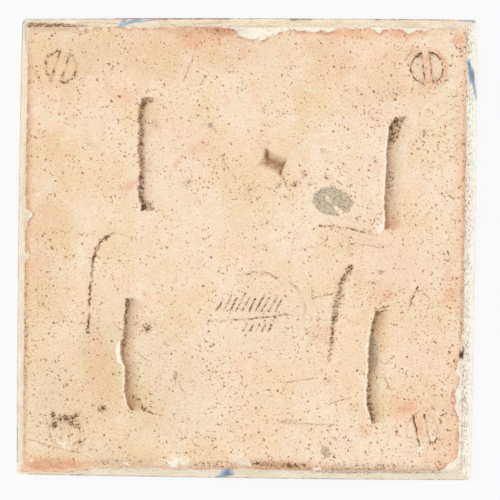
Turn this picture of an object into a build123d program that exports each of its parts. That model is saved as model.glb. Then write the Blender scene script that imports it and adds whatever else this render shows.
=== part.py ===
"""A hand-pressed, hand-painted wall tile of fired clay, lying on its glazed face with its keyed back up.

One solid, in millimetres. The origin is at the middle of the glazed face, +Z points out of the back,
and +Y points at the top edge of the back as it is read.
"""

import os
from math import cos, radians, sqrt, tan

from build123d import *

# Slab: a six-inch tile over its rounded glazed arris, with edges that lean in towards the back
face_side = 152.4
thickness = 11.0
edge_lean = 20.5
side_bow = 0.4
corner_radius = 1.6
glazed_arris_radius = 1.2
back_arris_radius = 0.4

# How far each corner of the pressed slab has drifted from a true square, as (x, y)
top_right_drift = (0.2, 0.3)
top_left_drift = (0.3, -0.1)
bottom_left_drift = (0.0, -0.3)
bottom_right_drift = (-0.4, 0.0)

# Mortar keys: one rounded scraper pushed into the soft back at four places
scraper_width = 37.0
scraper_crown = 0.9
scraper_corner_radius = 3.0
key_depth = 2.6
key_reach = 7.5
tool_clearance = 1.0

# Middle of each key's deep edge on the back, and the scraper's turn about +Z in degrees
key_places = {
    "upper_left": ((-34.2, 30.8), 1.0),
    "upper_right": ((47.2, 24.9), -3.0),
    "lower_left": ((-38.7, -35.4), 1.0),
    "lower_right": ((42.0, -38.4), -2.5),
}

# Two light cuts where only the scraper's edge touched, each along top, bend, run and foot
cut_width = 1.5
cut_depth = 1.1
light_cuts = {
    "left": ((-43.5, 4.4), (-48.6, -0.5), (-50.2, -9.7), (-50.9, -27.8)),
    "right": ((35.3, -5.9), (31.6, -14.4), (30.1, -24.6), (28.6, -38.2)),
}

# Slotted screw heads of the press plate, printed in the four corners, with each slot's turn in degrees
screw_head_radius = 5.6
screw_slot_width = 2.0
screw_print_depth = 0.45
screw_places = {
    "upper_left": ((-61.6, 59.8), -17.0),
    "upper_right": ((59.9, 59.6), 8.0),
    "lower_left": ((-58.6, -61.0), 4.0),
    "lower_right": ((59.7, -59.2), 13.0),
}

# Four-sided tool mark with sloping walls
punch_place = (8.6, 28.6)
punch_length = 8.0
punch_width = 6.4
punch_depth = 1.5
punch_turn = -20.0
punch_draft = 28.0

# Plain oval line left by a round-cornered stamp
oval_place = (4.6, -20.3)
oval_half_width = 16.0
oval_half_height = 12.5
oval_line_width = 0.7
oval_line_depth = 0.35

# Flakes broken from the back's arris: the way each faces in degrees, its place along the arris from
# the middle of that side, its length and its bite into the back. A corner flake faces a diagonal.
flake_rise = 2.0
edge_flakes = {
    "top": (90.0, -4.2, 18.0, 3.6),
    "right_upper": (0.0, -37.6, 8.0, 1.8),
    "right_lower": (0.0, -47.6, 10.0, 2.2),
    "left": (180.0, -9.9, 6.0, 0.9),
}
corner_flake_length = 9.0
corner_flake_bite = 1.6

lean_run = tan(radians(edge_lean))
arris_loss = glazed_arris_radius * (lean_run + 1 / cos(radians(edge_lean)) - 1)
sharp_side = face_side + 2 * arris_loss
back_side = sharp_side - 2 * thickness * lean_run
drifts = (top_right_drift, top_left_drift, bottom_left_drift, bottom_right_drift)


def corners_of(side):
    """The four drifted corners of a slab outline of that side, counter-clockwise from top right."""
    reach = side / 2 - side_bow
    square = ((reach, reach), (-reach, reach), (-reach, -reach), (reach, -reach))
    return [Vector(x + dx, y + dy) for (x, y), (dx, dy) in zip(square, drifts)]


def middles_of(side):
    """The middle of each bowed side, in the order of the corners that start them."""
    return [Vector(side / 2, 0).rotate(Axis.Z, 90 * turn) for turn in (1, 2, 3, 4)]


# The scraper's print: a floor that slopes up from a deep, slightly crowned tip with rounded corners
slope_run = key_reach * (1 + tool_clearance / key_depth)
with BuildPart() as key_print:
    with BuildSketch(Plane.XZ):
        with BuildLine():
            Polyline(
                (-scraper_crown, -key_depth * (1 + scraper_crown / key_reach)),
                (slope_run, tool_clearance),
                (-scraper_crown, tool_clearance),
                close=True,
            )
        make_face()
    extrude(amount=scraper_width / 2, both=True)
    with BuildSketch(Plane.XY.offset(tool_clearance)) as footprint:
        with BuildLine():
            tip = ThreePointArc(
                (0, scraper_width / 2), (-scraper_crown, 0), (0, -scraper_width / 2)
            )
            Polyline(tip @ 1, (slope_run, -scraper_width / 2), (slope_run, scraper_width / 2), tip @ 0)
        make_face()
        fillet(footprint.vertices().group_by(Axis.X)[0], scraper_corner_radius)
    extrude(amount=-2 * (key_depth + tool_clearance), mode=Mode.INTERSECT)

with BuildPart() as tile:
    # Slab: leaning edges, bowed sides and softened corners
    for height, side in ((0, sharp_side), (thickness, back_side)):
        with BuildSketch(Plane.XY.offset(height)) as outline:
            with BuildLine():
                corners = corners_of(side)
                for start, middle, end in zip(corners, middles_of(side), corners[1:] + corners[:1]):
                    ThreePointArc(start, middle, end)
            make_face()
            fillet(outline.vertices(), corner_radius)
    loft(ruled=True)
    fillet(tile.edges().group_by(Axis.Z)[0], glazed_arris_radius)
    fillet(tile.edges().group_by(Axis.Z)[-1], back_arris_radius)

    # Mortar keys
    for (x, y), turn in key_places.values():
        with Locations(Location((x, y, thickness), (0, 0, turn))):
            add(key_print.part, mode=Mode.SUBTRACT)

    # Light cuts: thin crescents that close to nothing at both ends
    for top, bend, run, foot in light_cuts.values():
        with BuildSketch(Plane.XY.offset(thickness)):
            with BuildLine():
                Spline(top, bend, run, foot)
                Spline(foot, Vector(*run) + (cut_width, 0), Vector(*bend) + (cut_width, -cut_width / 2), top)
            make_face()
        extrude(amount=-cut_depth, mode=Mode.SUBTRACT)

    # Screw heads: a shallow round print, parted by the raised bar of the driver slot
    with BuildSketch(Plane.XY.offset(thickness)):
        for (x, y), turn in screw_places.values():
            with Locations(Location((x, y, 0), (0, 0, turn))):
                Circle(screw_head_radius)
                Rectangle(screw_slot_width, 2 * screw_head_radius, mode=Mode.SUBTRACT)
    extrude(amount=-screw_print_depth, mode=Mode.SUBTRACT)

    # Tool mark
    with BuildSketch(Plane.XY.offset(thickness)):
        with Locations(Location((*punch_place, 0), (0, 0, punch_turn))):
            Rectangle(punch_length, punch_width)
    extrude(amount=-punch_depth, taper=punch_draft, mode=Mode.SUBTRACT)

    # Oval line
    with BuildSketch(Plane.XY.offset(thickness)):
        with Locations(oval_place):
            Ellipse(oval_half_width, oval_half_height)
            Ellipse(oval_half_width - oval_line_width, oval_half_height - oval_line_width, mode=Mode.SUBTRACT)
    extrude(amount=-oval_line_depth, mode=Mode.SUBTRACT)

    # Flakes: shallow spherical scoops out of the back's arris
    corner_reach = sqrt(2) * (back_side / 2 - side_bow) - (sqrt(2) - 1) * corner_radius
    flakes = [(back_side / 2, *flake) for flake in edge_flakes.values()]
    flakes.append((corner_reach, -45.0, 0.0, corner_flake_length, corner_flake_bite))
    for arris_reach, facing, along, length, bite in flakes:
        scoop_radius = (length**2 / 4 + bite**2) / (2 * bite)
        centre = Vector(arris_reach + scoop_radius - bite, along).rotate(Axis.Z, facing)
        with Locations(centre + (0, 0, thickness + flake_rise * scoop_radius)):
            Sphere(scoop_radius * sqrt(1 + flake_rise**2), mode=Mode.SUBTRACT)

tile.part.label = "tile"

os.makedirs("parts", exist_ok=True)
export_step(tile.part, "parts/tile.step")
print(f"tile: {tile.part.volume / 1000:.1f} cm3, box {tile.part.bounding_box().size}")
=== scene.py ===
# %% [markdown]
# # A hand-painted tile, lying face down
#
# The real object is one slab of buff clay, pressed in a frame by hand, cut on its back with a scraper so
# that mortar can grip it, glazed, painted and fired. What the camera sees is the raw back and the leaning
# edges where the glaze ran over. This lesson dresses the imported CAD solid with one dense mesh and two
# procedural materials. All working numbers are millimetres in the tile's own frame: +X right, +Y up the
# back.

# %% Load the imported tile
from math import cos, hypot, radians, sin, sqrt

import bpy
import numpy as np
from mathutils import Matrix, Vector


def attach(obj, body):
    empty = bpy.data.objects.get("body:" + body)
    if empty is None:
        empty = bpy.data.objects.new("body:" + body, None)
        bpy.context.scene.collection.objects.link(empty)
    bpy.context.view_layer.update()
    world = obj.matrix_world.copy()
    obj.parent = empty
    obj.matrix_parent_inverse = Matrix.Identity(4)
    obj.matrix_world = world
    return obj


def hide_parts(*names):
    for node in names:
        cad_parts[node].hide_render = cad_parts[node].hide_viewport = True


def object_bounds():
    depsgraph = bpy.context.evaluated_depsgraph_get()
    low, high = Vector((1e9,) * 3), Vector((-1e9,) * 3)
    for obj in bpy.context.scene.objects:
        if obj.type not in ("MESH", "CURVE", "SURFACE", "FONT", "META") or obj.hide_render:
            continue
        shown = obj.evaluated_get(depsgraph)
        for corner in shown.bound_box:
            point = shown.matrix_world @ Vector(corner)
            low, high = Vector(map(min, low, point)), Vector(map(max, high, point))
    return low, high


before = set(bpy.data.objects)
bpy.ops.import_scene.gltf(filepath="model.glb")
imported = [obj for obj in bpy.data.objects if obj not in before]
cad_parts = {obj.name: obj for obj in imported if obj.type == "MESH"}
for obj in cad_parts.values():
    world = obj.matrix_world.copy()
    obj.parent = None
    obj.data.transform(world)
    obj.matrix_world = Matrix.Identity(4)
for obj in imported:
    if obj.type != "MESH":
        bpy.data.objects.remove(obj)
cad_low, cad_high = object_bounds()
MM = 0.001
print("CAD box in mm:", [round(v / MM, 2) for v in (*cad_low, *cad_high)])

# %% [markdown]
# ## The blank
#
# A pressed slab is a flat back, four leaning edges and a rounded arris at the glazed face. The back could
# be one big face with bump on it, but the cuts and flakes must catch light as real shapes, so it starts as
# a grid. The grid lies a little below the CAD back, which leaves room for the lips of clay that the scraper
# pushed up.

# %% A grid for the back
BACK_HALF = 72.6
BACK_LEVEL = 10.68
GRID_CELLS = 160

bpy.ops.object.select_all(action="DESELECT")
bpy.ops.mesh.primitive_grid_add(
    x_subdivisions=GRID_CELLS, y_subdivisions=GRID_CELLS, size=2 * BACK_HALF * MM, location=(0, 0, 0)
)
tile = bpy.context.object
tile.name = "pressed_tile"
tile.data.name = "pressed_tile"
print("back grid:", len(tile.data.polygons), "faces of", round(2 * BACK_HALF / GRID_CELLS, 2), "mm")

# %% [markdown]
# ## Where the clay was worked
#
# The marks keep the CAD solid's places to within about two millimetres. Each kind of mark gets a small
# function of x and y, so that the same lines choose where the mesh must be fine, how deep the clay is and
# where dirt settled and shade is painted. A key is measured in the scraper's own directions: u across its
# blade and v along it, and its broken wall, its lip, which also takes a painted highlight, and its dirt,
# which also stands for painted shade at the wall, are given as short tables along v, from the lower end
# to the upper.

# %% Scraper keys
SCRAPER_WIDTH = 37.0
KEY_DEPTH = 2.6
KEY_REACH = 7.5
# Per key: the stain pair is the strength and reach of painted shade beside the wall; the lip rows also set a
# painted highlight on the pushed-up clay; the dirt rows set dark crumbs that also paint the wall's shade; the
# hooks are the dark ends, dirt with painted shade of the end walls.
KEYS = {
    "upper_left": {
        "place": (-34.2, 30.8), "turn": 1.0, "ragged": 0.6, "ease": (0.45, 0.5),
        "stain_and_shade": (0.2, 4.0), "floor": 0.12,
        "wall": (
            (-18.3, 0.0), (-16.5, -0.5), (-14.1, -1.2), (-9.4, -0.95), (-4.2, -0.65), (0.5, -1.15),
            (5.7, -1.1), (8.5, -0.8), (10.9, -1.1), (13.2, -1.1), (15.6, -0.8), (17.6, -0.1),
        ),
        "lip": ((-18, 0.3, 0.10), (18, 0.3, 0.10)),
        "dirt": (
            (-18.5, 3.0, 0.9), (-15, 2.2, 0.85), (-12, 1.6, 0.75), (0, 1.5, 0.7), (10, 1.7, 0.72),
            (18.5, 2.4, 0.72),
        ),
        "hooks": ((4.0, 1.4), (4.2, 2.3)),
    },
    "upper_right": {
        "place": (47.2, 24.9), "turn": -3.0, "ragged": 0.28, "ease": (0.6, 1.2),
        "stain_and_shade": (0.34, 6.0), "floor": 0.2,
        "wall": (
            (-17.6, 0.2), (-14.2, -0.1), (-8.7, -0.6), (-2, -0.6), (3.9, -0.75), (6.6, -1.05),
            (13.2, -0.65), (15.9, -0.3), (18.5, 1.3),
        ),
        "lip": ((-18, 0.9, 0.9), (-15, 0.5, 1.0), (5, 0.5, 1.0), (14, 0.6, 0.9), (17, 0.4, 0.3)),
        "dirt": (
            (-18.5, 1.0, 0.4), (-12, 1.2, 0.4), (-6, 3.1, 0.52), (2, 3.1, 0.52), (6, 1.2, 0.4),
            (9, 2.0, 0.62), (12, 3.8, 0.88), (18.5, 3.8, 0.92),
        ),
        "hooks": ((4.0, 2.2), (0.0, 0.5)),
    },
    "lower_left": {
        "place": (-38.7, -35.4), "turn": 1.0, "ragged": 0.28, "ease": (0.7, 1.0),
        "stain_and_shade": (0.36, 5.5), "floor": 0.2,
        "wall": (
            (-18.8, 2.4), (-17.8, 1.1), (-16.7, 0.5), (-14.4, -0.1), (-12, -0.5), (-3.8, -0.4),
            (-2.6, -1.1), (-1.6, -1.4), (0.7, -1.7), (3.1, -1.7), (4.7, -1.5), (5.2, -0.8), (8.7, -0.5),
            (12.5, -0.4), (18.5, 0.2),
        ),
        "lip": (
            (-18, 0.6, 0.9), (-8, 0.55, 0.9), (-3.5, 0.7, 0.9), (-2, 1.7, 1.1), (3, 1.7, 1.1),
            (5, 0.8, 0.5), (6.5, 0.3, 0.1), (18, 0.3, 0.1),
        ),
        "dirt": (
            (-18.5, 1.5, 0.4), (-14, 1.6, 0.3), (-4, 1.6, 0.34), (0, 1.6, 0.42), (4, 1.0, 0.75),
            (8, 0.7, 0.78), (13, 0.9, 0.8), (18.5, 2.2, 0.9),
        ),
        "hooks": ((3.2, 0.9), (0.0, 0.5)),
    },
    "lower_right": {
        "place": (42.0, -38.4), "turn": -2.5, "ragged": 0.32, "ease": (0.8, 1.2),
        "stain_and_shade": (0.42, 5.5), "floor": 0.15,
        "wall": (
            (-18.4, 1.8), (-16.1, 1.2), (-13.4, 0.2), (-10.6, -0.4), (-7.8, -0.4), (-3, -0.35),
            (2.6, -0.45), (5.4, -0.6), (8.2, -0.6), (11, -0.15), (13.9, 0.3), (16.7, 0.65), (18.8, 1.1),
        ),
        "lip": (
            (-18, 0.6, 0.8), (-10, 0.8, 0.85), (0, 0.6, 0.7), (6, 1.0, 0.75), (12, 0.9, 0.7),
            (17, 0.7, 0.6), (18.5, 0.3, 0.3),
        ),
        "dirt": (
            (-18.5, 2.0, 0.75), (-14, 2.0, 0.7), (-10, 1.7, 0.72), (-4, 0.8, 0.75), (0, 1.6, 0.5),
            (6, 1.6, 0.45), (12, 0.7, 0.6), (18.5, 1.0, 0.7),
        ),
        "hooks": ((0.0, 0.5), (0.0, 0.5)),
    },
}
print(len(KEYS), "keys of", SCRAPER_WIDTH, "mm")

# %% Light cuts, prints, tool mark and oval
LIGHT_CUTS = {
    "left": {
        "line": (
            (-43.3, 4.5), (-45.8, 3.2), (-47.7, 1.4), (-48.9, -1.1), (-49.7, -3.6), (-50.1, -6.1),
            (-50.3, -10.2), (-50.7, -13.5), (-50.8, -16.8), (-50.9, -20.9), (-51.0, -25.1), (-51.2, -28.2),
        ),
        "width": (
            (0, 0.5), (0.12, 1.2), (0.4, 0.95), (0.52, 0.4), (0.62, 0.65), (0.7, 0.4), (0.85, 0.6),
            (1, 0.4),
        ),
    },
    "right": {
        "line": (
            (35.3, -6.0), (34.0, -8.5), (32.6, -11.0), (31.8, -13.8), (31.2, -16.7), (30.8, -19.6),
            (30.4, -22.9), (29.8, -26.6), (29.6, -29.9), (29.1, -33.2), (28.7, -36.9),
        ),
        "width": (
            (0, 1.6), (0.2, 2.7), (0.45, 2.6), (0.6, 1.2), (0.8, 0.75), (1, 0.3),
        ),
    },
}
CUT_DEPTH = 0.8
SCREW_HEAD_RADIUS = 5.6
SCREW_PRINTS = {
    "upper_left": {
        "place": (-61.6, 59.8), "turn": -17.0, "bar": 3.0, "depth": 0.22, "ragged": 0.5, "line": 0.95,
        "dirt": (0.9, 0.82),
    },
    "upper_right": {
        "place": (59.9, 59.6), "turn": 8.0, "bar": 2.3, "depth": 0.5, "ragged": 0.3, "line": 0.55,
        "dirt": (0.95, 1.0),
    },
    "lower_left": {
        "place": (-58.6, -61.0), "turn": 4.0, "bar": 2.4, "depth": 0.16, "ragged": 0.5, "line": 0.6,
        "dirt": (0.5, 0.35),
    },
    "lower_right": {
        "place": (59.7, -59.2), "turn": 13.0, "bar": 3.3, "depth": 0.26, "ragged": 0.3, "line": 0.55,
        "dirt": (0.35, 1.15),
    },
}
PUNCH_PLACE = (9.4, 28.4)
PUNCH_HALF = (4.9, 3.9)
PUNCH_TURN = -22.0
PUNCH_DEPTH = 1.5
OVAL_PLACE = (4.6, -20.3)
OVAL_HALF = (16.0, 12.5)
OVAL_LINE_WIDTH = 0.7
OVAL_LINE_DEPTH = 0.3
print(len(LIGHT_CUTS), "light cuts,", len(SCREW_PRINTS), "screw-head prints, one tool mark, one oval")

# %% Thin lines drawn in the clay
PRINT_LINES = (
    ((62.4, -62.7), (63.6, -63.2), (65.0, -61.6)), ((-51.9, -63.2), (-52.6, -64.7), (-54.0, -66.2)),
    ((-57.8, -62.7), (-56.4, -61.9)), ((-56.3, -67.4), (-54.2, -67.8)), ((66.2, -54.4), (68.0, -53.5)),
    ((62.9, -51.8), (63.7, -52.4)), ((65.6, -55.4), (66.2, -56.7)),
    ((43.5, -20.3), (45.4, -19.4), (48.7, -18.6)), ((45.4, -20.6), (48.9, -19.8)),
    ((42.1, -35.7), (44.2, -36.3)), ((57.6, -12.2), (54.7, -20.1)), ((12.8, 23.8), (14.0, 20.5)),
    ((-0.6, -8.9), (2.3, -8.7)), ((6.0, -8.2), (8.5, -8.6), (11.0, -9.6)), ((-11.2, -24.0), (-9.6, -23.8)),
    ((-36.3, -48.8), (-35.1, -50.0), (-33.7, -50.2)), ((25.2, 7.5), (33.4, 6.9), (43.0, 4.7)),
    ((-32.2, -53.5), (-29.6, -54.8), (-26.3, -55.3)),
)
SCRATCH_LINES = (
    ((68.9, 70.9), (68.6, 68.2), (69.8, 66.2), (71.6, 65.6)), ((24.6, 0.6), (27.9, 3.3)),
    ((13.3, -57.0), (31.1, -57.8)), ((-16.2, 67.0), (-17.6, 62.0), (-20.5, 54.8)),
    ((22.8, -12.5), (22.8, -16.2), (29.7, -14.8)), ((14.2, -43.9), (24.1, -42.4)),
    ((-71.7, -63.8), (-63.4, -66.0), (-56.0, -68.0)), ((29.1, -50.9), (36.3, -48.8)),
    ((-8.0, 30.6), (-2.9, 22.4)), ((36.0, 1.8), (45.0, 0.4)), ((44.9, -36.3), (47.5, -37.9), (50.7, -35.2)),
    ((46.6, -40.9), (47.5, -43.2), (49.4, -46.0)), ((-35.7, -34.0), (-33.1, -36.0), (-30.9, -37.4)),
    ((-35.6, -25.2), (-33.5, -24.0)), ((-39.8, 4.1), (-43.3, 4.5)), ((-22.1, -43.4), (-22.0, -45.4)),
    ((-21.0, -44.0), (-20.4, -45.4), (-18.8, -47.4)), ((-69.9, 57.3), (-69.1, 55.1), (-67.9, 54.3)),
)
HATCH_FOOT = (-8.6, -20.6)
HATCH_STEP = 2.15
HATCH_LENGTHS = (4.0, 5.0, 3.8, 5.4, 4.4, 3.8, 5.2, 4.2, 5.0, 3.8)
HATCH_LEAN = 0.55
HATCH_RULE = ((-8.6, -24.2), (3.3, -23.1), (10.7, -22.3), (14.8, -21.9))
TICK_FOOT = (0.0, -27.2)
TICK_LENGTH = 2.2
TICKS = 5


def hatch_strokes():
    """Parallel strokes of one tool drawn over the clay, with a rule and a few ticks below them."""
    for place, length in enumerate(HATCH_LENGTHS):
        x, y = HATCH_FOOT[0] + place * HATCH_STEP, HATCH_FOOT[1]
        yield (x, y), (x + HATCH_LEAN * length, y + length)
    for place in range(TICKS):
        x, y = TICK_FOOT[0] + place * HATCH_STEP, TICK_FOOT[1]
        yield (x, y), (x + HATCH_LEAN * TICK_LENGTH, y + TICK_LENGTH)
    yield HATCH_RULE


print(len(PRINT_LINES) + len(SCRATCH_LINES) + len(list(hatch_strokes())), "thin lines")

# %% Measuring helpers


def smooth(low, high, value):
    """A soft step from 0 at low to 1 at high."""
    t = np.clip((value - low) / (high - low), 0, 1)
    return t * t * (3 - 2 * t)


def clay_noise(x, y, size, seed, octaves=3):
    """Soft lattice noise, mostly between -1 and 1, with lumps of that size in millimetres."""
    total = np.zeros(len(x))
    for octave in range(octaves):
        a, b = x / size * 2**octave + 17.3 * seed, y / size * 2**octave - 9.7 * seed
        cell_a, cell_b = np.floor(a), np.floor(b)
        a, b = smooth(0, 1, a - cell_a), smooth(0, 1, b - cell_b)
        corners = []
        for da, db in ((0, 0), (1, 0), (0, 1), (1, 1)):
            h = np.sin((cell_a + da) * 12.9898 + (cell_b + db) * 78.233 + seed * 3.7) * 43758.5453
            corners.append(2 * (h - np.floor(h)) - 1)
        low = corners[0] + a * (corners[1] - corners[0])
        high = corners[2] + a * (corners[3] - corners[2])
        total += (low + b * (high - low)) / 2**octave
    return 0.85 * total


def turned(x, y, place, degrees):
    """x and y as seen from a mark at that place, turned by that angle."""
    c, s = cos(radians(degrees)), sin(radians(degrees))
    dx, dy = x - place[0], y - place[1]
    return c * dx + s * dy, c * dy - s * dx


def near_line(x, y, points):
    """Distance to a drawn line, and the share of the line's length where it is nearest."""
    points = np.array(points, float)
    lengths = np.hypot(*np.diff(points, axis=0).T)
    starts = np.concatenate(([0], np.cumsum(lengths)))
    best = np.full(len(x), 1e9)
    share = np.zeros(len(x))
    for a, b, start, length in zip(points[:-1], points[1:], starts, lengths):
        t = np.clip(((x - a[0]) * (b[0] - a[0]) + (y - a[1]) * (b[1] - a[1])) / length**2, 0, 1)
        gap = np.hypot(x - a[0] - t * (b[0] - a[0]), y - a[1] - t * (b[1] - a[1]))
        nearer = gap < best
        best = np.where(nearer, gap, best)
        share = np.where(nearer, (start + t * length) / starts[-1], share)
    return best, share


def key_frame(x, y, key):
    """u across the blade from the key's broken wall, and v along it."""
    u, v = turned(x, y, key["place"], key["turn"])
    return u - np.interp(v, *zip(*key["wall"])), v


def oval_gap(x, y):
    """Distance from the oval line, about right near the line."""
    ring = np.hypot((x - OVAL_PLACE[0]) / OVAL_HALF[0], (y - OVAL_PLACE[1]) / OVAL_HALF[1])
    return (ring - 1) * sqrt(OVAL_HALF[0] * OVAL_HALF[1])


print("helpers ready: smooth step, clay noise, drawn lines, the scraper's frame")

# %% [markdown]
# ## Fine mesh only where it shows
#
# A uniform grid fine enough for the cuts would pass the limit of triangles. Instead the faces near a worked
# place or near the edge are chosen by their middles and subdivided once, and those at a steep wall, a print
# or a thin line are subdivided again. The Subdivide operator stitches the coarse and fine faces together by
# itself.

# %% Subdivide near the marks
SMUDGE_PLACE = (29.1, 15.6)
SMUDGE_ZONE = 7.5
PUNCH_ZONE = 7.0
ARRIS_ZONE = 3.0
OVAL_SHOWS_FROM = -16
MARK_ZONES = {"key": (-2.6, 4.5, 1.6), "cut": 2.2, "print": 1.8, "line": 1.2}
WALL_ZONES = {"key": (-1.2, 1.0, 0.6), "cut": 1.4, "print": 1.2, "line": 0.6}


def in_zones(x, y, zones):
    """True within the given reach of a key's wall, a light cut, a print or a thin line."""
    close = np.zeros(len(x), bool)
    behind, ahead, beyond = zones["key"]
    for key in KEYS.values():
        u, v = key_frame(x, y, key)
        close |= (u > behind) & (u < ahead) & (abs(v) < SCRAPER_WIDTH / 2 + beyond)
    for cut in LIGHT_CUTS.values():
        close |= near_line(x, y, cut["line"])[0] < zones["cut"]
    for mark in SCREW_PRINTS.values():
        radius = np.hypot(x - mark["place"][0], y - mark["place"][1])
        close |= radius < SCREW_HEAD_RADIUS + zones["print"]
    for drawn in (*PRINT_LINES, *SCRATCH_LINES, *hatch_strokes()):
        close |= near_line(x, y, drawn)[0] < zones["line"]
    return close


def near_marks(x, y):
    """True within the worked places and along the arris."""
    close = in_zones(x, y, MARK_ZONES)
    close |= np.maximum(abs(x), abs(y)) > BACK_HALF - ARRIS_ZONE
    close |= np.hypot(x - PUNCH_PLACE[0], y - PUNCH_PLACE[1]) < PUNCH_ZONE
    close |= np.hypot(x - SMUDGE_PLACE[0], y - SMUDGE_PLACE[1]) < SMUDGE_ZONE
    close |= (abs(oval_gap(x, y)) < MARK_ZONES["line"]) & (x + y > OVAL_SHOWS_FROM)
    return close


def near_walls(x, y):
    """True where the clay drops steeply, a screw head was printed or a thin line runs."""
    return in_zones(x, y, WALL_ZONES)


def subdivide_where(piece, test):
    """Cut each face whose middle passes the test into four."""
    mesh = piece.data
    bpy.ops.object.mode_set(mode="EDIT")
    bpy.ops.mesh.select_all(action="DESELECT")
    bpy.ops.object.mode_set(mode="OBJECT")
    middles = np.empty(len(mesh.polygons) * 3)
    mesh.polygons.foreach_get("center", middles)
    middles = middles.reshape(-1, 3) / MM
    bpy.context.tool_settings.mesh_select_mode = (False, False, True)
    mesh.polygons.foreach_set("select", test(middles[:, 0], middles[:, 1]))
    bpy.ops.object.mode_set(mode="EDIT")
    bpy.ops.mesh.subdivide(number_cuts=1, ngon=False, quadcorner="INNERVERT")
    bpy.ops.object.mode_set(mode="OBJECT")


subdivide_where(tile, near_marks)
subdivide_where(tile, near_walls)
BACK_POINTS = len(tile.data.vertices)
print("back:", BACK_POINTS, "points,", len(tile.data.polygons), "faces")

# %% [markdown]
# ## Edges and glazed face
#
# The four edges lean out towards the glazed face and turn under through a small round. The open border of
# the grid is extruded row by row and scaled out to follow that profile, as one would by hand, and the last
# row is closed with a face, which is the painted side that the tile lies on.

# %% Extrude the rim
EDGE_LEAN = 20.5
ARRIS_RADIUS = 1.2
FACE_HALF = 76.17
WALL_SHARES = (0.03, 0.07, 0.13, 0.21, 0.30, 0.40, 0.50, 0.60, 0.70, 0.80, 0.90)
ARRIS_TURNS = (EDGE_LEAN, 0.0, -30.0, -60.0, -90.0)
arris_middle = FACE_HALF - ARRIS_RADIUS
wall_foot = (
    arris_middle + ARRIS_RADIUS * cos(radians(EDGE_LEAN)),
    ARRIS_RADIUS * (1 + sin(radians(EDGE_LEAN))),
)
profile = [(BACK_HALF, BACK_LEVEL)]
for share in WALL_SHARES:
    profile.append(tuple(a + share * (b - a) for a, b in zip(profile[0], wall_foot)))
for turn in ARRIS_TURNS:
    profile.append(
        (arris_middle + ARRIS_RADIUS * cos(radians(turn)), ARRIS_RADIUS * (1 + sin(radians(turn))))
    )

bpy.ops.object.mode_set(mode="EDIT")
bpy.ops.mesh.select_mode(type="EDGE")
bpy.ops.mesh.select_all(action="DESELECT")
bpy.ops.mesh.select_non_manifold(
    use_wire=False, use_multi_face=False, use_non_contiguous=False, use_verts=False
)
for (reach, height), (next_reach, next_height) in zip(profile[:-1], profile[1:]):
    bpy.ops.mesh.extrude_region_move(TRANSFORM_OT_translate={"value": (0, 0, (next_height - height) * MM)})
    grow = next_reach / reach
    bpy.ops.transform.resize(value=(grow, grow, 1), center_override=(0, 0, 0))
bpy.ops.mesh.edge_face_add()
bpy.ops.object.mode_set(mode="OBJECT")
RIM_ROWS = len(profile) - 1
rim_points = (len(tile.data.vertices) - BACK_POINTS) // RIM_ROWS
print("rim:", RIM_ROWS, "rows of", rim_points, "points;", len(tile.data.polygons), "faces in all")

# %% [markdown]
# ## Reading the blank as numbers
#
# The shaping below moves every point by a formula, which is quicker and steadier in numpy than with a
# brush. First each point learns where it is: on the back or on the rim, on which side, how far along that
# side, and how far it lies inward from the back's arris. Outward distance is measured down the leaning
# edge, as glaze runs.

# %% Where each point lies
count = len(tile.data.vertices)
points = np.empty(count * 3)
tile.data.vertices.foreach_get("co", points)
points = points.reshape(-1, 3) / MM
flat_x, flat_y = points[:, 0].copy(), points[:, 1].copy()
steps = [hypot(b[0] - a[0], b[1] - a[1]) for a, b in zip(profile[:-1], profile[1:])]
row_runs = np.concatenate(([0], np.cumsum(steps)))
row = np.zeros(count, int)
row[BACK_POINTS:] = 1 + np.arange(count - BACK_POINTS) // rim_points
run = row_runs[row]
on_back = row == 0
square_reach = np.maximum(np.maximum(abs(flat_x), abs(flat_y)), 1.0)
SIDES = {"top": (0, 1, 1), "right": (1, 0, 1), "bottom": (0, 1, -1), "left": (1, 0, -1)}


def side_place(side):
    """Along a side, and inward from its arris: positive on the back, negative down the leaning edge."""
    along_axis, out_axis, sign = SIDES[side]
    outward = sign * points[:, out_axis]
    owns = outward >= square_reach - 1e-4
    return points[:, along_axis], np.where(on_back, BACK_HALF - outward, -run), owns


widest_row = len(WALL_SHARES) + 2
print("slope from the back's arris to the widest line:", round(float(row_runs[widest_row]), 2), "mm")
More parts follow.
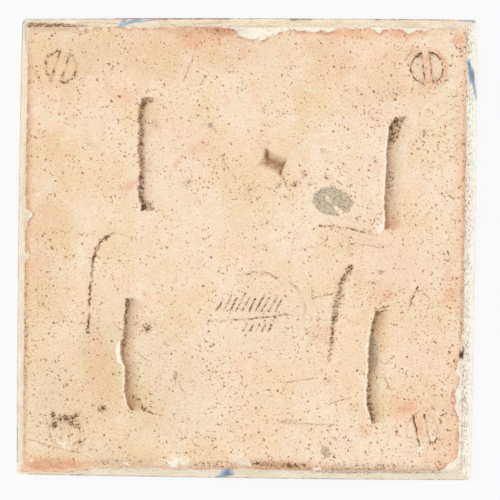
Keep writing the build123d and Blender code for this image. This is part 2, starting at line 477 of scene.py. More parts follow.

# %% [markdown]
# ## Glaze line and brush marks
#
# The tile was dipped and painted face up, so glaze ran down the edges and crept onto the back in tongues.
# Its limit is given as a few places along each side with how far the glaze reaches in from the arris,
# and ragged noise between them. The brush marks, the dirt that sticks to the rim and a painted line of
# shade where each edge turns under are tapered strokes down the edge. The glaze and the brush marks are
# kept as distances in millimetres, so the material can cut a crisp line between two mesh points. Each
# point also learns how far along the rim and down the slope it lies, so that the streaks in the glaze can
# follow the edge.

# %% Glaze reach, brush strokes, rim dirt and painted edge shade
GLAZE_REACH = {
    "top": (
        (-73, -5.6), (-64, -5.0), (-58.5, -4.0), (-56.5, -1.0), (-55.4, 0.5), (-48, 0.2), (-45.5, -1.2),
        (-41.5, -0.4), (-39.2, 0.8), (-37, 0.1), (-31.6, 0.0), (-21, -0.9), (-10, -0.2), (-4.4, 0.4),
        (-2.1, 2.9), (0.5, 3.8), (6.1, 4.3), (9.1, 2.9), (12, 1.0), (14.7, 0.2), (17, 1.1), (21.9, 1.4),
        (27.5, 1.3), (31.1, 0.0), (40.6, 0.1), (44.3, 1.5), (45.6, 0.2), (51.8, 0.8), (54.1, 1.7),
        (56.4, 0.7), (59, 1.2), (61.9, -0.4), (70.4, 0.0),
    ),
    "right": (
        (-69.9, 2.2), (-68.3, 0.4), (-54.9, 0.2), (-52.9, 1.6), (-49, 2.3), (-46.5, 2.4), (-45, 1.2),
        (-43.8, 0.5), (-42.1, 0.6), (-40.8, 1.9), (-38, 1.8), (-36.4, 1.3), (-35.7, 0.2), (-16, 0.1),
        (6.6, -0.8), (50, -0.9), (70, -0.9),
    ),
    "bottom": (
        (-70.6, -8.0), (-58, -7.4), (-53, -4.4), (-46.7, -2.4), (-40.7, -0.9), (-39.0, 0.4), (-37.0, 0.4),
        (-35.4, -0.8), (-25.5, -1.2), (-9.6, -1.5), (-2, -1.2), (0, 0.4), (4.0, 0.4), (7, -0.5),
        (35.9, -0.5), (64, -0.4), (66, 0.8), (69.6, 2.5), (72.2, 2.2),
    ),
    "left": (
        (-72.7, -0.6), (-5, -0.6), (-4.3, 1.2), (-2.3, 1.3), (-1.2, -0.4), (4.8, -0.2), (6.5, 0.6),
        (8.5, 1.1), (10.0, 2.2), (11.0, 2.5), (11.9, 1.8), (12.7, -0.2), (37.8, -0.3), (38.6, 0.6),
        (39.4, -0.2), (59, -0.2), (59.8, 0.6), (60.6, -0.3), (71, -1.5),
    ),
}
BLUE_STROKES = {
    "top": (
        ((-42.2, 1.4), (-41.4, 9.6), 1.6, 2.6), ((-41.0, 3.4), (-37.0, 9.6), 2.6, 3.6),
        ((-39.5, 5.8), (-28.0, 9.8), 2.8, 0.6), ((70.5, 8.7), (75.0, 9.0), 2.4, 2.2),
        ((-75.0, 9.5), (-42.0, 9.5), 0.9, 0.8),
    ),
    "right": (((61.5, 3.2), (57.0, 5.4), 3.8, 4.2), ((58.5, 6.2), (49.5, 9.8), 4.2, 0.8)),
    "bottom": (
        ((-4.2, 0.6), (-5.0, 5.4), 3.6, 4.4), ((-4.4, 6.0), (-8.0, 9.4), 4.6, 2.6),
        ((-57.3, 9.5), (-54.0, 9.5), 1.4, 1.2), ((24.6, 9.6), (36.0, 9.6), 1.2, 0.9),
    ),
    "left": (
        ((76.0, 8.4), (66.5, 9.4), 2.2, 0.9), ((-59.0, 9.5), (-72.0, 9.4), 1.0, 1.2),
        ((-3.0, 9.5), (-10.0, 9.6), 1.0, 0.7),
    ),
}
# The long strokes near the foot of each edge, where it turns under, are a painted line of shade along the
# edge, with some dirt; the shorter strokes are dirt.
RIM_DIRT_AND_SHADE = {
    "top": (
        ((-73.0, 4.4), (-63.0, 3.8), 4.6, 4.4, 1.1), ((-63.0, 3.6), (-54.0, 2.2), 3.8, 1.8, 1.0),
        ((-57.0, 6.4), (-44.0, 5.0), 1.0, 0.8, 0.8), ((-73.0, 8.4), (-44.0, 8.6), 0.8, 0.8, 0.6),
        ((-44.0, 9.7), (-7.0, 9.5), 1.4, 1.6, 1.5), ((-7.0, 9.6), (42.0, 9.7), 1.1, 1.1, 1.1),
        ((42.0, 9.5), (70.0, 9.6), 1.4, 1.2, 1.1), ((14.5, 8.8), (20.0, 9.0), 2.4, 2.0, 1.3),
        ((-16.0, 4.4), (-4.0, 6.6), 1.0, 0.8, 0.8), ((-20.0, 1.0), (-5.0, 1.6), 1.0, 1.0, 0.6),
    ),
    "right": (((-33.0, 0.8), (-35.2, 0.6), 2.4, 1.8, 2.0), ((-70.0, 9.4), (70.0, 9.4), 0.7, 0.7, 0.3)),
    "bottom": (
        ((6.0, 0.2), (30.0, 0.3), 1.6, 1.2, 0.9), ((26.0, 2.0), (66.0, 2.4), 2.6, 2.6, 0.85),
        ((-40.0, 0.5), (-10.0, 0.4), 1.0, 1.0, 0.8), ((-72.0, 9.7), (74.0, 9.7), 1.0, 1.0, 0.9),
    ),
    "left": (((-72.0, 9.6), (72.0, 9.6), 1.0, 1.0, 0.8), ((66.0, 3.0), (74.0, 4.6), 1.4, 3.0, 0.85)),
}
MILK = {"top": 0.15, "right": 1.0, "bottom": 0.3, "left": 0.2}
TONGUE_MILK = 0.8
PITTED = {"top": 0.45, "right": 1.0, "bottom": 0.3, "left": 0.4}
TONGUE_PITTED = 0.3
RAGGED = {"top": 1.0, "right": 1.0, "bottom": 1.7, "left": 1.2}
ROUND_SIGN = {"top": 1, "right": 1, "bottom": -1, "left": -1}

glaze = np.full(count, -50.0)
blue = np.full(count, -9.0)
rim_along, rim_run = np.zeros(count), np.zeros(count)
grit_and_shade, stain_and_shade, milk, pitted = np.zeros(count), np.zeros(count), np.zeros(count), np.zeros(count)
for side in SIDES:
    along, inward, owns = side_place(side)
    reach = np.interp(along, *zip(*GLAZE_REACH[side]))
    ragged = 0.55 * clay_noise(along, inward, 3.0, 5.0) + 0.25 * clay_noise(along, inward, 0.9, 8.0)
    here = np.where(on_back | owns, reach + RAGGED[side] * ragged - inward, -50.0)
    leads = here > glaze
    rim_along = np.where(leads, ROUND_SIGN[side] * along, rim_along)
    rim_run = np.where(leads, -inward, rim_run)
    side_milk = np.where(on_back, TONGUE_MILK, MILK[side] * smooth(-1.0, 5.0, -inward))
    milk = np.where(leads, side_milk, milk)
    side_pitted = PITTED[side] * smooth(9.5, 4.0, -inward) * np.where(on_back, TONGUE_PITTED, 1.0)
    pitted = np.where(leads, side_pitted, pitted)
    glaze = np.maximum(glaze, here)
    rim = owns & ~on_back
    for start, end, first, last in BLUE_STROKES[side]:
        gap, share = near_line(along, -inward, (start, end))
        blue = np.where(rim, np.maximum(blue, (first + share * (last - first)) / 2 - gap), blue)
    for start, end, first, last, amount in RIM_DIRT_AND_SHADE[side]:
        gap, share = near_line(along, -inward, (start, end))
        half = (first + share * (last - first)) / 2
        dirt = amount * smooth(half * 1.6, half * 0.4, gap) * rim
        grit_and_shade, stain_and_shade = np.maximum(grit_and_shade, dirt), np.maximum(stain_and_shade, 0.65 * dirt)
blue += np.where(blue > -3, 0.3 * clay_noise(flat_x, flat_y + run, 2.0, 21.0), 0)
print("glazed points:", int((glaze > 0).sum()), " brushed points:", int((blue > 0).sum()))

# %% [markdown]
# ## Relief of the back
#
# Now the clay is worked. Slow noise gives the unevenness of a hand-pressed slab, and each mark subtracts
# its own depth: the keys slope up from a deep ragged wall and push up a lip beside it, the light cuts are
# thin notches, the screw heads leave shallow rounds. While a mark is cut, what it does to the colour is
# noted too: grit for dark crumbs, and also for painted shade at the keys' walls and ends, in the tool
# mark and at a screw print; stain for an even brown, and also for painted shade beside each key's wall
# and in the tool mark; chalk for pale bruised clay, and also for a painted highlight along each key's
# lip; straw for the yellower clay of a key's floor and warm for the salmon of the kiln.

# %% Press the slab and scrape the keys
x, y = np.where(on_back, flat_x, 0.0), np.where(on_back, flat_y, 0.0)
PRESS_WAVES = ((0.10, 22.0, 1.0), (0.06, 5.0, 2.0), (0.05, 1.7, 3.0))
LIP_HEIGHT = 0.2
relief = np.zeros(count)
for wave, size, seed in PRESS_WAVES:
    relief += wave * clay_noise(flat_x, flat_y, size, seed)
chalk_and_highlight, warm, straw = np.zeros(count), np.zeros(count), np.zeros(count)
HALF = SCRAPER_WIDTH / 2
for place, key in enumerate(KEYS.values()):
    u, v = key_frame(x, y, key)
    tearing = 0.6 * clay_noise(x, y, 1.6, 30.0 + place) + 0.5 * clay_noise(x, y, 0.6, 35.0 + place)
    u = u + key["ragged"] * tearing
    past = abs(v) - HALF + 0.35 * clay_noise(x, y, 1.1, 40.0 + place)
    ease = 0.3 + np.where(v > 0, *key["ease"]) * np.clip(u, 0, None)
    length = smooth(0.2, -1.0, past / ease)
    floor_depth = np.clip(KEY_DEPTH * (1 - u / KEY_REACH), 0, None) + 0.05 * clay_noise(x, y, 1.2, 38.0)
    relief -= smooth(-0.15, 0.3, u) * length * np.clip(floor_depth, 0, None)
    spots, widths, amounts = zip(*key["lip"])
    lip_width, lip_amount = np.interp(v, spots, widths), np.interp(v, spots, amounts)
    lip = np.exp(-(((u + 0.15 + lip_width / 2) / (0.25 + lip_width / 2)) ** 2)) * smooth(0.8, -0.8, past)
    relief += LIP_HEIGHT * lip_amount * lip
    # A pale band over the pushed-up lip beside the wall: a painted highlight on the lip.
    lip_highlight = smooth(-0.35 - lip_width, -0.15 - lip_width / 2, u) * smooth(0.15, -0.1, u)
    lip_highlight = lip_highlight * smooth(0.5, -0.5, past)
    chalk_and_highlight = np.maximum(chalk_and_highlight, lip_amount * lip_highlight)
    bed = key["floor"] * smooth(0.2, 1.4, u) * smooth(9.5, 5.0, u) * smooth(0.4, -2.0, past)
    straw = np.maximum(straw, bed * on_back)
    spots, widths, amounts = zip(*key["dirt"])
    width, amount = np.interp(v, spots, widths), np.interp(v, spots, amounts)
    # Dark crumbs along the wall and at the two ends: dirt, which also paints the shade of the wall and of the
    # end walls.
    loose = u + 0.45 * clay_noise(x, y, 1.5, 43.0 + place)
    band = smooth(width + 0.6, width - 0.5, loose) * smooth(-0.2, 0.1, u) * smooth(0.3, -0.1, past)
    for up, (hook, thick) in zip((1, -1), key["hooks"]):
        end = smooth(-thick - 0.5, -thick + 0.3, past) * smooth(0.4, 0.0, past)
        end = end * smooth(hook + 0.8, hook - 0.8, loose)
        band = np.maximum(band, end * smooth(-0.2, 0.1, u) * (up * v > 0) * (hook > 0))
    grit_and_shade = np.maximum(grit_and_shade, amount * band * on_back)
    # Painted shade: an even brown beside the wall that fades across the floor within its reach, with a darker
    # narrow line at the wall's foot.
    strength, shade_reach = key["stain_and_shade"]
    shade = smooth(shade_reach, 0.3 * shade_reach, u) + 0.7 * smooth(1.3, 0.3, u)
    shade = shade * smooth(-0.2, 0.1, u) * smooth(0.3, -0.6, past)
    stain_and_shade = np.maximum(stain_and_shade, strength * shade * on_back)
print("keys cut; deepest point", round(float(relief.min()), 2), "mm")

# %% Light cuts and screw-head prints
for cut in LIGHT_CUTS.values():
    gap, share = near_line(x, y, cut["line"])
    half = np.interp(share, *zip(*cut["width"])) / 2
    gap = gap + 0.45 * clay_noise(x, y, 1.4, 51.0) + 0.35 * clay_noise(x, y, 0.5, 52.0)
    relief -= CUT_DEPTH * np.clip(half / 0.5, 0.3, 1) * smooth(half + 0.2, half * 0.2, gap)
    torn = np.clip(0.78 + 0.5 * clay_noise(x, y, 1.8, 53.0), 0.4, 1.1) - 0.12 * smooth(0.8, 1.2, half)
    grit_and_shade = np.maximum(grit_and_shade, torn * smooth(half + 0.5, half * 0.4, gap) * on_back)
    crumbled = smooth(0.55, 0.8, clay_noise(x, y, 0.36, 54.0, 1)) * smooth(half + 0.5, half * 0.8, gap)
    chalk_and_highlight = np.maximum(chalk_and_highlight, np.clip(0.9 * half, 0, 0.9) * crumbled * on_back)
for name, mark in SCREW_PRINTS.items():
    a, b = turned(x, y, mark["place"], mark["turn"])
    radius = np.hypot(a, b) + mark["ragged"] * clay_noise(x, y, 2.2, 61.0)
    bar = abs(a) - mark["bar"] / 2 + 0.2 * clay_noise(x, y, 1.8, 62.0)
    halves = smooth(SCREW_HEAD_RADIUS, SCREW_HEAD_RADIUS - 0.6, radius) * smooth(-0.1, 0.4, bar)
    relief -= mark["depth"] * halves
    chalk_and_highlight = np.maximum(chalk_and_highlight, 0.18 * halves * on_back)
    arc_dirt, bar_dirt = mark["dirt"]
    worn = np.clip(0.95 + 0.9 * clay_noise(x, y, 1.5, 63.0), 0.2, 1.25)
    arc_line = smooth(mark["line"], 0.1, abs(radius - SCREW_HEAD_RADIUS + 0.3)) * smooth(-0.4, 0.2, bar)
    in_head = smooth(SCREW_HEAD_RADIUS + 0.1, SCREW_HEAD_RADIUS - 0.3, radius)
    bar_line = smooth(mark["line"], 0.1, abs(bar - 0.15)) * in_head
    grit_and_shade = np.maximum(grit_and_shade, worn * np.maximum(arc_dirt * arc_line, bar_dirt * bar_line) * on_back)
    if name == "upper_right":
        ring_angle = np.degrees(np.arctan2(b, a)) % 360
        closed = 1 - smooth(150, 170, ring_angle) * smooth(240, 225, ring_angle)
        ring = smooth(SCREW_HEAD_RADIUS - 0.2, SCREW_HEAD_RADIUS + 0.3, radius)
        ring = ring * smooth(7.2, 6.7, radius) * closed
        slot = smooth(0.3, -0.1, bar) * smooth(6.4, 5.8, radius)
        raised = np.maximum(ring, slot) * on_back
        relief += 0.2 * raised
        warm = np.maximum(warm, 0.95 * raised)
        # Darker far ends of the two sunk halves, more on the upper one, are painted shade in the recess; the
        # dark arcs just outside the ring are its painted shadow at the lower right and a dark line at the
        # upper left.
        ends = smooth(3.0, 4.4, abs(b)) * halves * np.where(b > 0, 0.95, 0.7)
        low_rim = smooth(285, 300, ring_angle) * smooth(335, 320, ring_angle)
        high_rim = smooth(100, 112, ring_angle) * smooth(160, 148, ring_angle)
        outer = smooth(0.5, 0.1, abs(radius - 7.4)) * np.maximum(low_rim, high_rim)
        grit_and_shade = np.maximum(grit_and_shade, np.maximum(ends, 0.8 * worn * outer) * on_back)
print("light cuts and prints done; grit on", int((grit_and_shade > 0.3).sum()), "points")

# %% Tool mark, oval and thin lines
a, b = turned(x, y, PUNCH_PLACE, PUNCH_TURN)
waist_a = 0.8 * (1 - np.clip(b / PUNCH_HALF[1], -1, 1) ** 2) + 0.12 * clay_noise(x, y, 1.2, 66.0)
waist_b = 0.9 * (1 - np.clip(a / PUNCH_HALF[0], -1, 1) ** 2) + 0.12 * clay_noise(x, y, 1.2, 67.0)
left_wall = (a + PUNCH_HALF[0] - waist_a) / 2.0
right_wall = (PUNCH_HALF[0] - waist_a - a) / 1.5
upper_slope = (PUNCH_HALF[1] - waist_b - b) / 3.2
lower_slope = (b + PUNCH_HALF[1] - waist_b) / 2.4
walls = (left_wall, right_wall, upper_slope, lower_slope)
within = smooth(-0.05, 0.25, np.minimum.reduce(walls)) * on_back
relief -= PUNCH_DEPTH * np.clip(1.7 * np.prod([smooth(-0.05, 1.0, wall) for wall in walls], axis=0), 0, 1)
# Brown in the tool mark: painted shade along its left wall, brown on its right wall and along its valley, and
# a light even brown over the whole pocket.
valley = np.exp(-(((b + 0.3) / 1.7) ** 4)) * smooth(-3.6, -1.8, a)
left_band = np.exp(-(((a + 2.2 + 0.4 * b) / 1.0) ** 2)) * smooth(-1.6, 0.2, b)
right_band = smooth(1.3, 0.5, right_wall) * smooth(3.0, 1.0, b)
brown = np.maximum.reduce((1.1 * valley, 1.4 * left_band, 1.25 * right_band, np.full(count, 0.3)))
stain_and_shade = np.maximum(stain_and_shade, within * brown)
grit_and_shade = np.maximum(grit_and_shade, within * np.maximum(0.6 * left_band, 0.65 * right_band))
oval_x, oval_y = (x - OVAL_PLACE[0]) / OVAL_HALF[0], (y - OVAL_PLACE[1]) / OVAL_HALF[1]
oval_angle = np.degrees(np.arctan2(oval_y, oval_x))
shown = np.maximum(smooth(-22, 0, oval_angle) * smooth(125, 105, oval_angle), 0.12)
shown = shown * np.clip(0.6 + 0.9 * clay_noise(x, y, 3.0, 68.0), 0.1, 1.1)
oval_off = abs(oval_gap(x, y) + 0.25 * clay_noise(x, y, 2.0, 69.0))
oval_line = smooth(OVAL_LINE_WIDTH * 0.75, OVAL_LINE_WIDTH * 0.15, oval_off) * on_back
relief -= OVAL_LINE_DEPTH * oval_line * shown
stain_and_shade = np.maximum(stain_and_shade, 0.6 * oval_line * shown)
grit_and_shade = np.maximum(grit_and_shade, 0.95 * oval_line * shown * smooth(60, 80, oval_angle))
drift_x, drift_y = x + 0.3 * clay_noise(x, y, 4.0, 71.0), y + 0.3 * clay_noise(x, y, 4.0, 72.0)
faded = np.clip(0.85 + 0.6 * clay_noise(x, y, 2.2, 73.0), 0.25, 1)
THIN_LINES = (
    (PRINT_LINES, 0.34, 0.16, 1.0, 0.5),
    (SCRATCH_LINES, 0.22, 0.07, 0.55, 0.6),
    (tuple(hatch_strokes()), 0.36, 0.22, 0.9, 0.8),
)
for lines, half, depth, dark, soil in THIN_LINES:
    for drawn in lines:
        gap = near_line(drift_x, drift_y, drawn)[0]
        groove = smooth(half + 0.15, half * 0.4, gap) * on_back * faded
        relief -= depth * groove
        grit_and_shade = np.maximum(grit_and_shade, dark * groove)
        stain_and_shade = np.maximum(stain_and_shade, soil * groove)
relief = np.where(on_back, relief, 0.0)
stain_and_shade = np.maximum(stain_and_shade, 0.75 * grit_and_shade)
print("thin lines done; grit on", int((grit_and_shade > 0.3).sum()), "points")

# %% [markdown]
# ## The slab's own shape
#
# A hand-made slab isn't square. The same bow of the sides, drift of the corners and small corner radius as
# in the CAD solid are laid over all points, then the flakes that broke from the back's arris are scooped
# out, and the glaze is given a little thickness with runs down the edge. Nothing may pass the CAD box, so a
# point that would is held at it.

# %% Bow, corners, flakes and glaze thickness
SIDE_BOW = 0.4
CORNER_RADIUS = 1.6
CORNER_DRIFT = {(1, 1): (0.2, 0.3), (-1, 1): (0.3, -0.1), (-1, -1): (0.0, -0.3), (1, -1): (-0.4, 0.0)}
FLAKES = (
    ((4.2, 72.6), 90.0, 18.0, 3.6), ((72.6, -37.6), 0.0, 8.0, 1.8), ((72.6, -47.6), 0.0, 10.0, 2.2),
    ((-72.6, 9.9), 180.0, 6.0, 0.9), ((71.7, -71.7), -45.0, 9.0, 1.6),
)
FLAKE_RISE = 2.0
GLAZE_THICKNESS = 0.14
ARRIS_ROUNDING = 0.22
ARRIS_CHIPPING = 0.3
RUN_DEPTH = 0.16
BARE_STEP = 0.2

level = points[:, 2] + relief + BACK_LEVEL
outline = np.where(on_back, BACK_HALF, square_reach) - CORNER_RADIUS
edge_x, edge_y = np.clip(abs(flat_x) - outline, 0, None), np.clip(abs(flat_y) - outline, 0, None)
longest = np.maximum(np.hypot(edge_x, edge_y), 1e-9)
pull = np.where((edge_x > 0) & (edge_y > 0), np.maximum(edge_x, edge_y) / longest, 1.0)
new_x = np.sign(flat_x) * (abs(flat_x) - edge_x * (1 - pull))
new_y = np.sign(flat_y) * (abs(flat_y) - edge_y * (1 - pull))
share_x, share_y = flat_x / FACE_HALF, flat_y / FACE_HALF
new_x, new_y = new_x - SIDE_BOW * share_x * share_y**2, new_y - SIDE_BOW * share_y * share_x**2
for (sx, sy), (dx, dy) in CORNER_DRIFT.items():
    weight = (1 + sx * share_x) * (1 + sy * share_y) / 4
    new_x, new_y = new_x + dx * weight, new_y + dy * weight

arris = np.where(on_back, smooth(0.7, 0.0, BACK_HALF - square_reach), 0)
chipped = clay_noise(flat_x, flat_y, 2.2, 81.0)
level -= ARRIS_ROUNDING * arris + ARRIS_CHIPPING * arris * np.clip(chipped, 0, None)
for (fx, fy), facing, length, bite in FLAKES:
    scoop = (length**2 / 4 + bite**2) / (2 * bite)
    cx, cy = fx + (scoop - bite) * cos(radians(facing)), fy + (scoop - bite) * sin(radians(facing))
    ball = scoop * sqrt(1 + FLAKE_RISE**2)
    under = np.clip(ball**2 - (new_x - cx) ** 2 - (new_y - cy) ** 2, 0, None)
    bowl = BACK_LEVEL + FLAKE_RISE * scoop - np.sqrt(under) + 0.14 * clay_noise(flat_x, flat_y, 1.4, 91.0)
    level = np.where((under > 0) & (row <= len(WALL_SHARES)), np.minimum(level, bowl), level)
glaze_coat = GLAZE_THICKNESS * smooth(-0.1, 0.5, glaze) * (1 + clay_noise(flat_x, flat_y, 1.3, 92.0))
level += np.where(on_back, glaze_coat, 0)
runs = clay_noise(np.where(abs(flat_x) > abs(flat_y), flat_y, flat_x), run * 0.3, 4.0, 95.0)
wall = (row > 0) & (row <= len(WALL_SHARES))
push = RUN_DEPTH * runs - RUN_DEPTH - BARE_STEP * smooth(0.3, -0.6, glaze)
push = np.where(wall, push, 0) / square_reach
new_x, new_y = new_x * (1 + push), new_y * (1 + push)
points = np.column_stack((new_x, new_y, np.clip(level, 0, cad_high.z / MM)))
points[:, :2] = np.clip(points[:, :2], np.array(cad_low[:2]) / MM, np.array(cad_high[:2]) / MM)
tile.data.vertices.foreach_set("co", (points * MM).ravel())
tile.data.update()
print("shaped box in mm:", points.min(0).round(2), points.max(0).round(2))

# %% [markdown]
# ## Stains laid one by one
#
# The kiln left warm blushes, and use left grey smudges and chalky chips. Wider dabs make the clay yellower
# or paler, and say where the specks crowd. Each one is a soft dab: a place, half lengths, a turn and a
# strength. The dabs are only hints, because the material breaks the smaller ones up with noise.

# %% Dabs of colour
WARM_DABS = (
    ((-15.8, 69.0), (10, 4), 0, 1.0), ((-8, 66), (13, 6), 0, 0.55), ((30.6, 60.6), (7, 6), 20, 0.7),
    ((-40.6, 49.9), (5, 3), -25, 0.6), ((-38.7, 19.9), (3.2, 1.7), 30, 0.9),
    ((-15.4, 32.8), (4, 1.8), 25, 0.6), ((-65.3, 7.6), (7, 7), 0, 0.6), ((-69.0, -6.5), (5, 7), 0, 0.6),
    ((-47.2, -39.2), (3.6, 11), 10, 0.65), ((68.5, -13.0), (4, 8), 0, 0.75),
    ((53.0, -51.5), (4.6, 3.0), 0, 1.4), ((67.3, -66.3), (6, 6), 45, 0.8),
    ((45.0, 43.1), (3, 2.4), 30, 0.6), ((26.9, 35.1), (2.4, 1.6), 0, 0.5),
    ((-63.5, -72.4), (10, 2.2), 2, 1.9), ((46.0, -15.0), (3.8, 2.4), 20, 1.0),
    ((70.4, 68.4), (2.0, 2.4), 0, 1.4), ((-71.2, 41.6), (1.8, 27), 0, 0.7),
    ((71.5, 29.5), (2.4, 34), 0, 0.6), ((44.3, 70.6), (7, 2), 0, 0.8), ((68.8, -54.8), (4, 8), 0, 0.5),
    ((25.4, 68.0), (8, 4), 0, 0.6), ((-55, 55), (16, 12), 0, 0.35), ((-66, 25), (8, 18), 0, 0.35),
    ((40, 58), (20, 10), 0, 0.35), ((62, -30), (10, 26), 0, 0.35), ((-30, 63), (16, 8), 0, 0.4),
    ((48, -8), (18, 10), 0, 0.3), ((13.0, -71.6), (12, 1.3), 0, 1.2), ((-22.0, 28.0), (0.7, 3.4), -25, 1.0),
    ((49.4, 8.8), (2.2, 2.2), 0, 0.8), ((41.4, -59.0), (3.2, 2.0), 0, 0.65),
    ((26.0, -28.0), (4.0, 3.2), 0, 0.7), ((58.0, -57.0), (1.8, 4.5), 13, 0.9),
    ((66.0, -64.0), (5, 6), 0, 0.6), ((-8.0, 71.4), (16, 2.2), 0, 1.3), ((37.0, 70.8), (9, 2.0), 0, 1.2),
    ((52.0, 70.6), (6, 1.8), 0, 1.0),
)
CROWD_DABS = (
    ((70, 0), (14, 80), 0, 1.0), ((20, -68), (60, 9), 0, 0.8), ((35, 12), (16, 16), 0, 0.7),
    ((-66, -40), (9, 30), 0, 0.6), ((55, 50), (20, 20), 0, 0.7), ((40, -40), (30, 30), 0, 0.45),
    ((-10, -50), (28, 20), 0, 0.6), ((-15, 28), (10, 14), 0, 0.5),
)
STRAW_DABS = (
    ((-46, -38), (10, 18), 0, 0.6), ((-26, -46), (16, 18), 0, 0.45), ((-60, -52), (12, 16), 0, 0.5),
    ((-45, 66), (30, 8), 0, 0.35), ((8, -24), (12, 10), 0, 0.3), ((-66, -10), (8, 22), 0, 0.3),
    ((-4, 66), (18, 7), 0, 0.3), ((-50, -68), (24, 6), 0, 0.35),
)
STAIN_DABS = (
    ((-35.0, -51.8), (2.8, 1.5), -30, 0.6), ((49.4, 8.6), (1.6, 1.8), 0, 0.35),
    ((-58.5, -57.4), (5.0, 2.0), -8, 0.3), ((-72.2, 20), (1.3, 46), 0, 0.42),
    ((-72.2, -40), (1.2, 26), 0, 0.42), ((15, -72.2), (52, 1.0), 0, 0.6), ((13, -71.4), (11, 1.4), 0, 0.7),
    ((-40, -71.6), (14, 1.1), 0, 0.4), ((-64, 72.0), (11, 1.0), 0, 0.5),
    ((-15.0, 71.2), (11, 1.6), 0, 0.35), ((-8.0, 71.4), (7, 1.2), 0, 0.6),
    ((-64.5, -71.6), (8, 1.6), 2, 0.3), ((72.2, 20), (0.7, 46), 0, 0.28), ((72.2, -15), (0.6, 18), 0, 0.45),
)
GREY_DABS = (
    (SMUDGE_PLACE, (6.4, 4.6), -12, 1.0), ((27.9, -66.7), (1.5, 2.1), 35, 0.8),
    ((-11.4, 40.4), (0.9, 1.2), 0, 0.8), ((45.4, -7.4), (1.2, 0.8), 0, 0.8),
    ((59.0, 38.3), (0.9, 1.5), 0, 0.7), ((35.2, 15.4), (1.4, 0.6), 0, 0.8),
    ((43.2, -34.6), (1.5, 6.0), 0, 0.75), ((-22.1, -42.5), (0.8, 1.15), -10, 1.1),
)
SMUDGE_BREAKS = (((27.6, 16.6), (0.9, 2.3), 40, 0.68), ((31.3, 12.7), (0.9, 2.8), 52, 0.75))
CHALK_DABS = (
    ((58.8, -65.4), (1.4, 1.3), 0, 0.85), ((62.6, -61.8), (1.1, 1.1), 0, 0.85),
    ((-69.6, -71.0), (0.7, 0.6), 40, 0.8), ((-68.2, 17.0), (0.8, 0.8), 0, 0.8),
    ((44.7, 6.9), (1.6, 2.4), 0, 0.75), ((-58.4, -65.5), (3.6, 2.4), 0, 0.62),
    ((66.0, 69.6), (1.6, 1.2), 0, 0.5), ((-22.4, -70.6), (2.4, 2.6), 0, 0.75),
    ((-18.8, -70.8), (2.0, 2.2), 0, 0.65), ((-38.2, -71.8), (2.0, 1.2), 0, 0.8),
    ((1.0, -71.2), (2.8, 1.8), 0, 0.85), ((25.3, -72.3), (2.0, 0.9), 0, 0.9),
)
GRIT_DABS = (
    ((-31.6, -26.6), (1.2, 1.5), 20, 1.15), ((-46.4, -53.4), (1.3, 1.3), 0, 1.1),
    ((-62.3, -56.0), (0.9, 1.6), 20, 1.2), ((-62.0, -59.0), (1.2, 1.2), 0, 1.2),
    ((-60.2, -57.4), (1.7, 1.0), 30, 1.05), ((-58.0, -56.6), (1.7, 1.1), -35, 1.2),
    ((-56.4, -58.4), (1.2, 1.1), 0, 1.15), ((-55.3, -56.2), (1.6, 1.0), 40, 1.15),
    ((-54.4, -59.2), (1.1, 1.1), 0, 1.1), ((-53.5, -64.8), (0.8, 0.9), 0, 0.8),
    ((-66.2, -19.1), (0.8, 1.2), 20, 0.8), ((-29.4, 40.4), (1.4, 2.0), 20, 0.6),
    ((-50.7, 33.5), (2.6, 1.0), -30, 0.5), ((11.4, 20.5), (0.8, 0.9), 0, 0.9),
    ((16.8, 21.2), (1.5, 1.2), 20, 0.8), ((21.8, 21.3), (1.1, 0.8), 0, 0.8),
    ((20.1, 24.6), (1.0, 1.3), 30, 0.7), ((27.3, 23.3), (1.4, 1.0), 0, 0.7),
    ((26.3, 32.1), (1.0, 0.8), 0, 0.7), ((49.4, 51.0), (1.8, 1.3), 0, 0.6),
    ((70.9, 65.8), (0.8, 1.0), 0, 0.7), ((72.0, -34.2), (0.8, 1.2), 0, 2.2),
    ((-32.8, -53.0), (1.6, 1.1), -20, 1.1), ((-36.2, -49.6), (2.0, 1.2), -35, 0.8),
    ((59.6, 38.4), (0.7, 1.1), 0, 0.7), ((15.3, -57.0), (2.8, 0.7), 0, 0.8),
    ((-19.0, 21.0), (2.2, 1.4), 0, 0.5), ((2.0, 18.5), (2.0, 2.2), 0, 0.5),
    ((4.5, -70.8), (7.0, 1.3), 2, 0.9), ((17.0, -71.3), (8.0, 1.0), 0, 0.8),
    ((-8.0, -71.2), (9.0, 1.1), 0, 0.7), ((28, -71.0), (10.0, 0.9), 0, 0.55),
    ((-38, -70.6), (11, 1.1), 0, 0.65), ((-25.0, 71.6), (10, 0.5), 0, 0.5),
    ((-72.0, -30), (1.0, 36), 0, 0.6), ((45, -71.2), (18, 1.0), 0, 0.6), ((-72.2, 40), (0.8, 30), 0, 0.5),
    ((-9.0, 71.8), (6, 0.7), 0, 0.75), ((72.2, 0), (0.6, 60), 0, 0.45),
)
PALE_DABS = (
    ((32, 12), (15, 9), 0, 0.45), ((50, -4), (13, 9), 0, 0.55), ((10, -25), (17, 12), 0, 0.5),
    ((-8, -48), (15, 11), 0, 0.4), ((-26, -36), (9, 9), 0, 0.3), ((-22, 30), (9, 16), 0, 0.35),
    ((42, 42), (14, 11), 0, 0.3), ((20, -60), (12, 8), 0, 0.3),
)


def dabbed(dabs, edge=0.55):
    """How strongly the nearest dab colours each point, from 0 to 1."""
    strength = np.zeros(count)
    for place, (half_a, half_b), turn, amount in dabs:
        a, b = turned(points[:, 0], points[:, 1], place, turn)
        strength = np.maximum(strength, amount * smooth(1 + edge, 1 - edge, np.hypot(a / half_a, b / half_b)))
    return strength


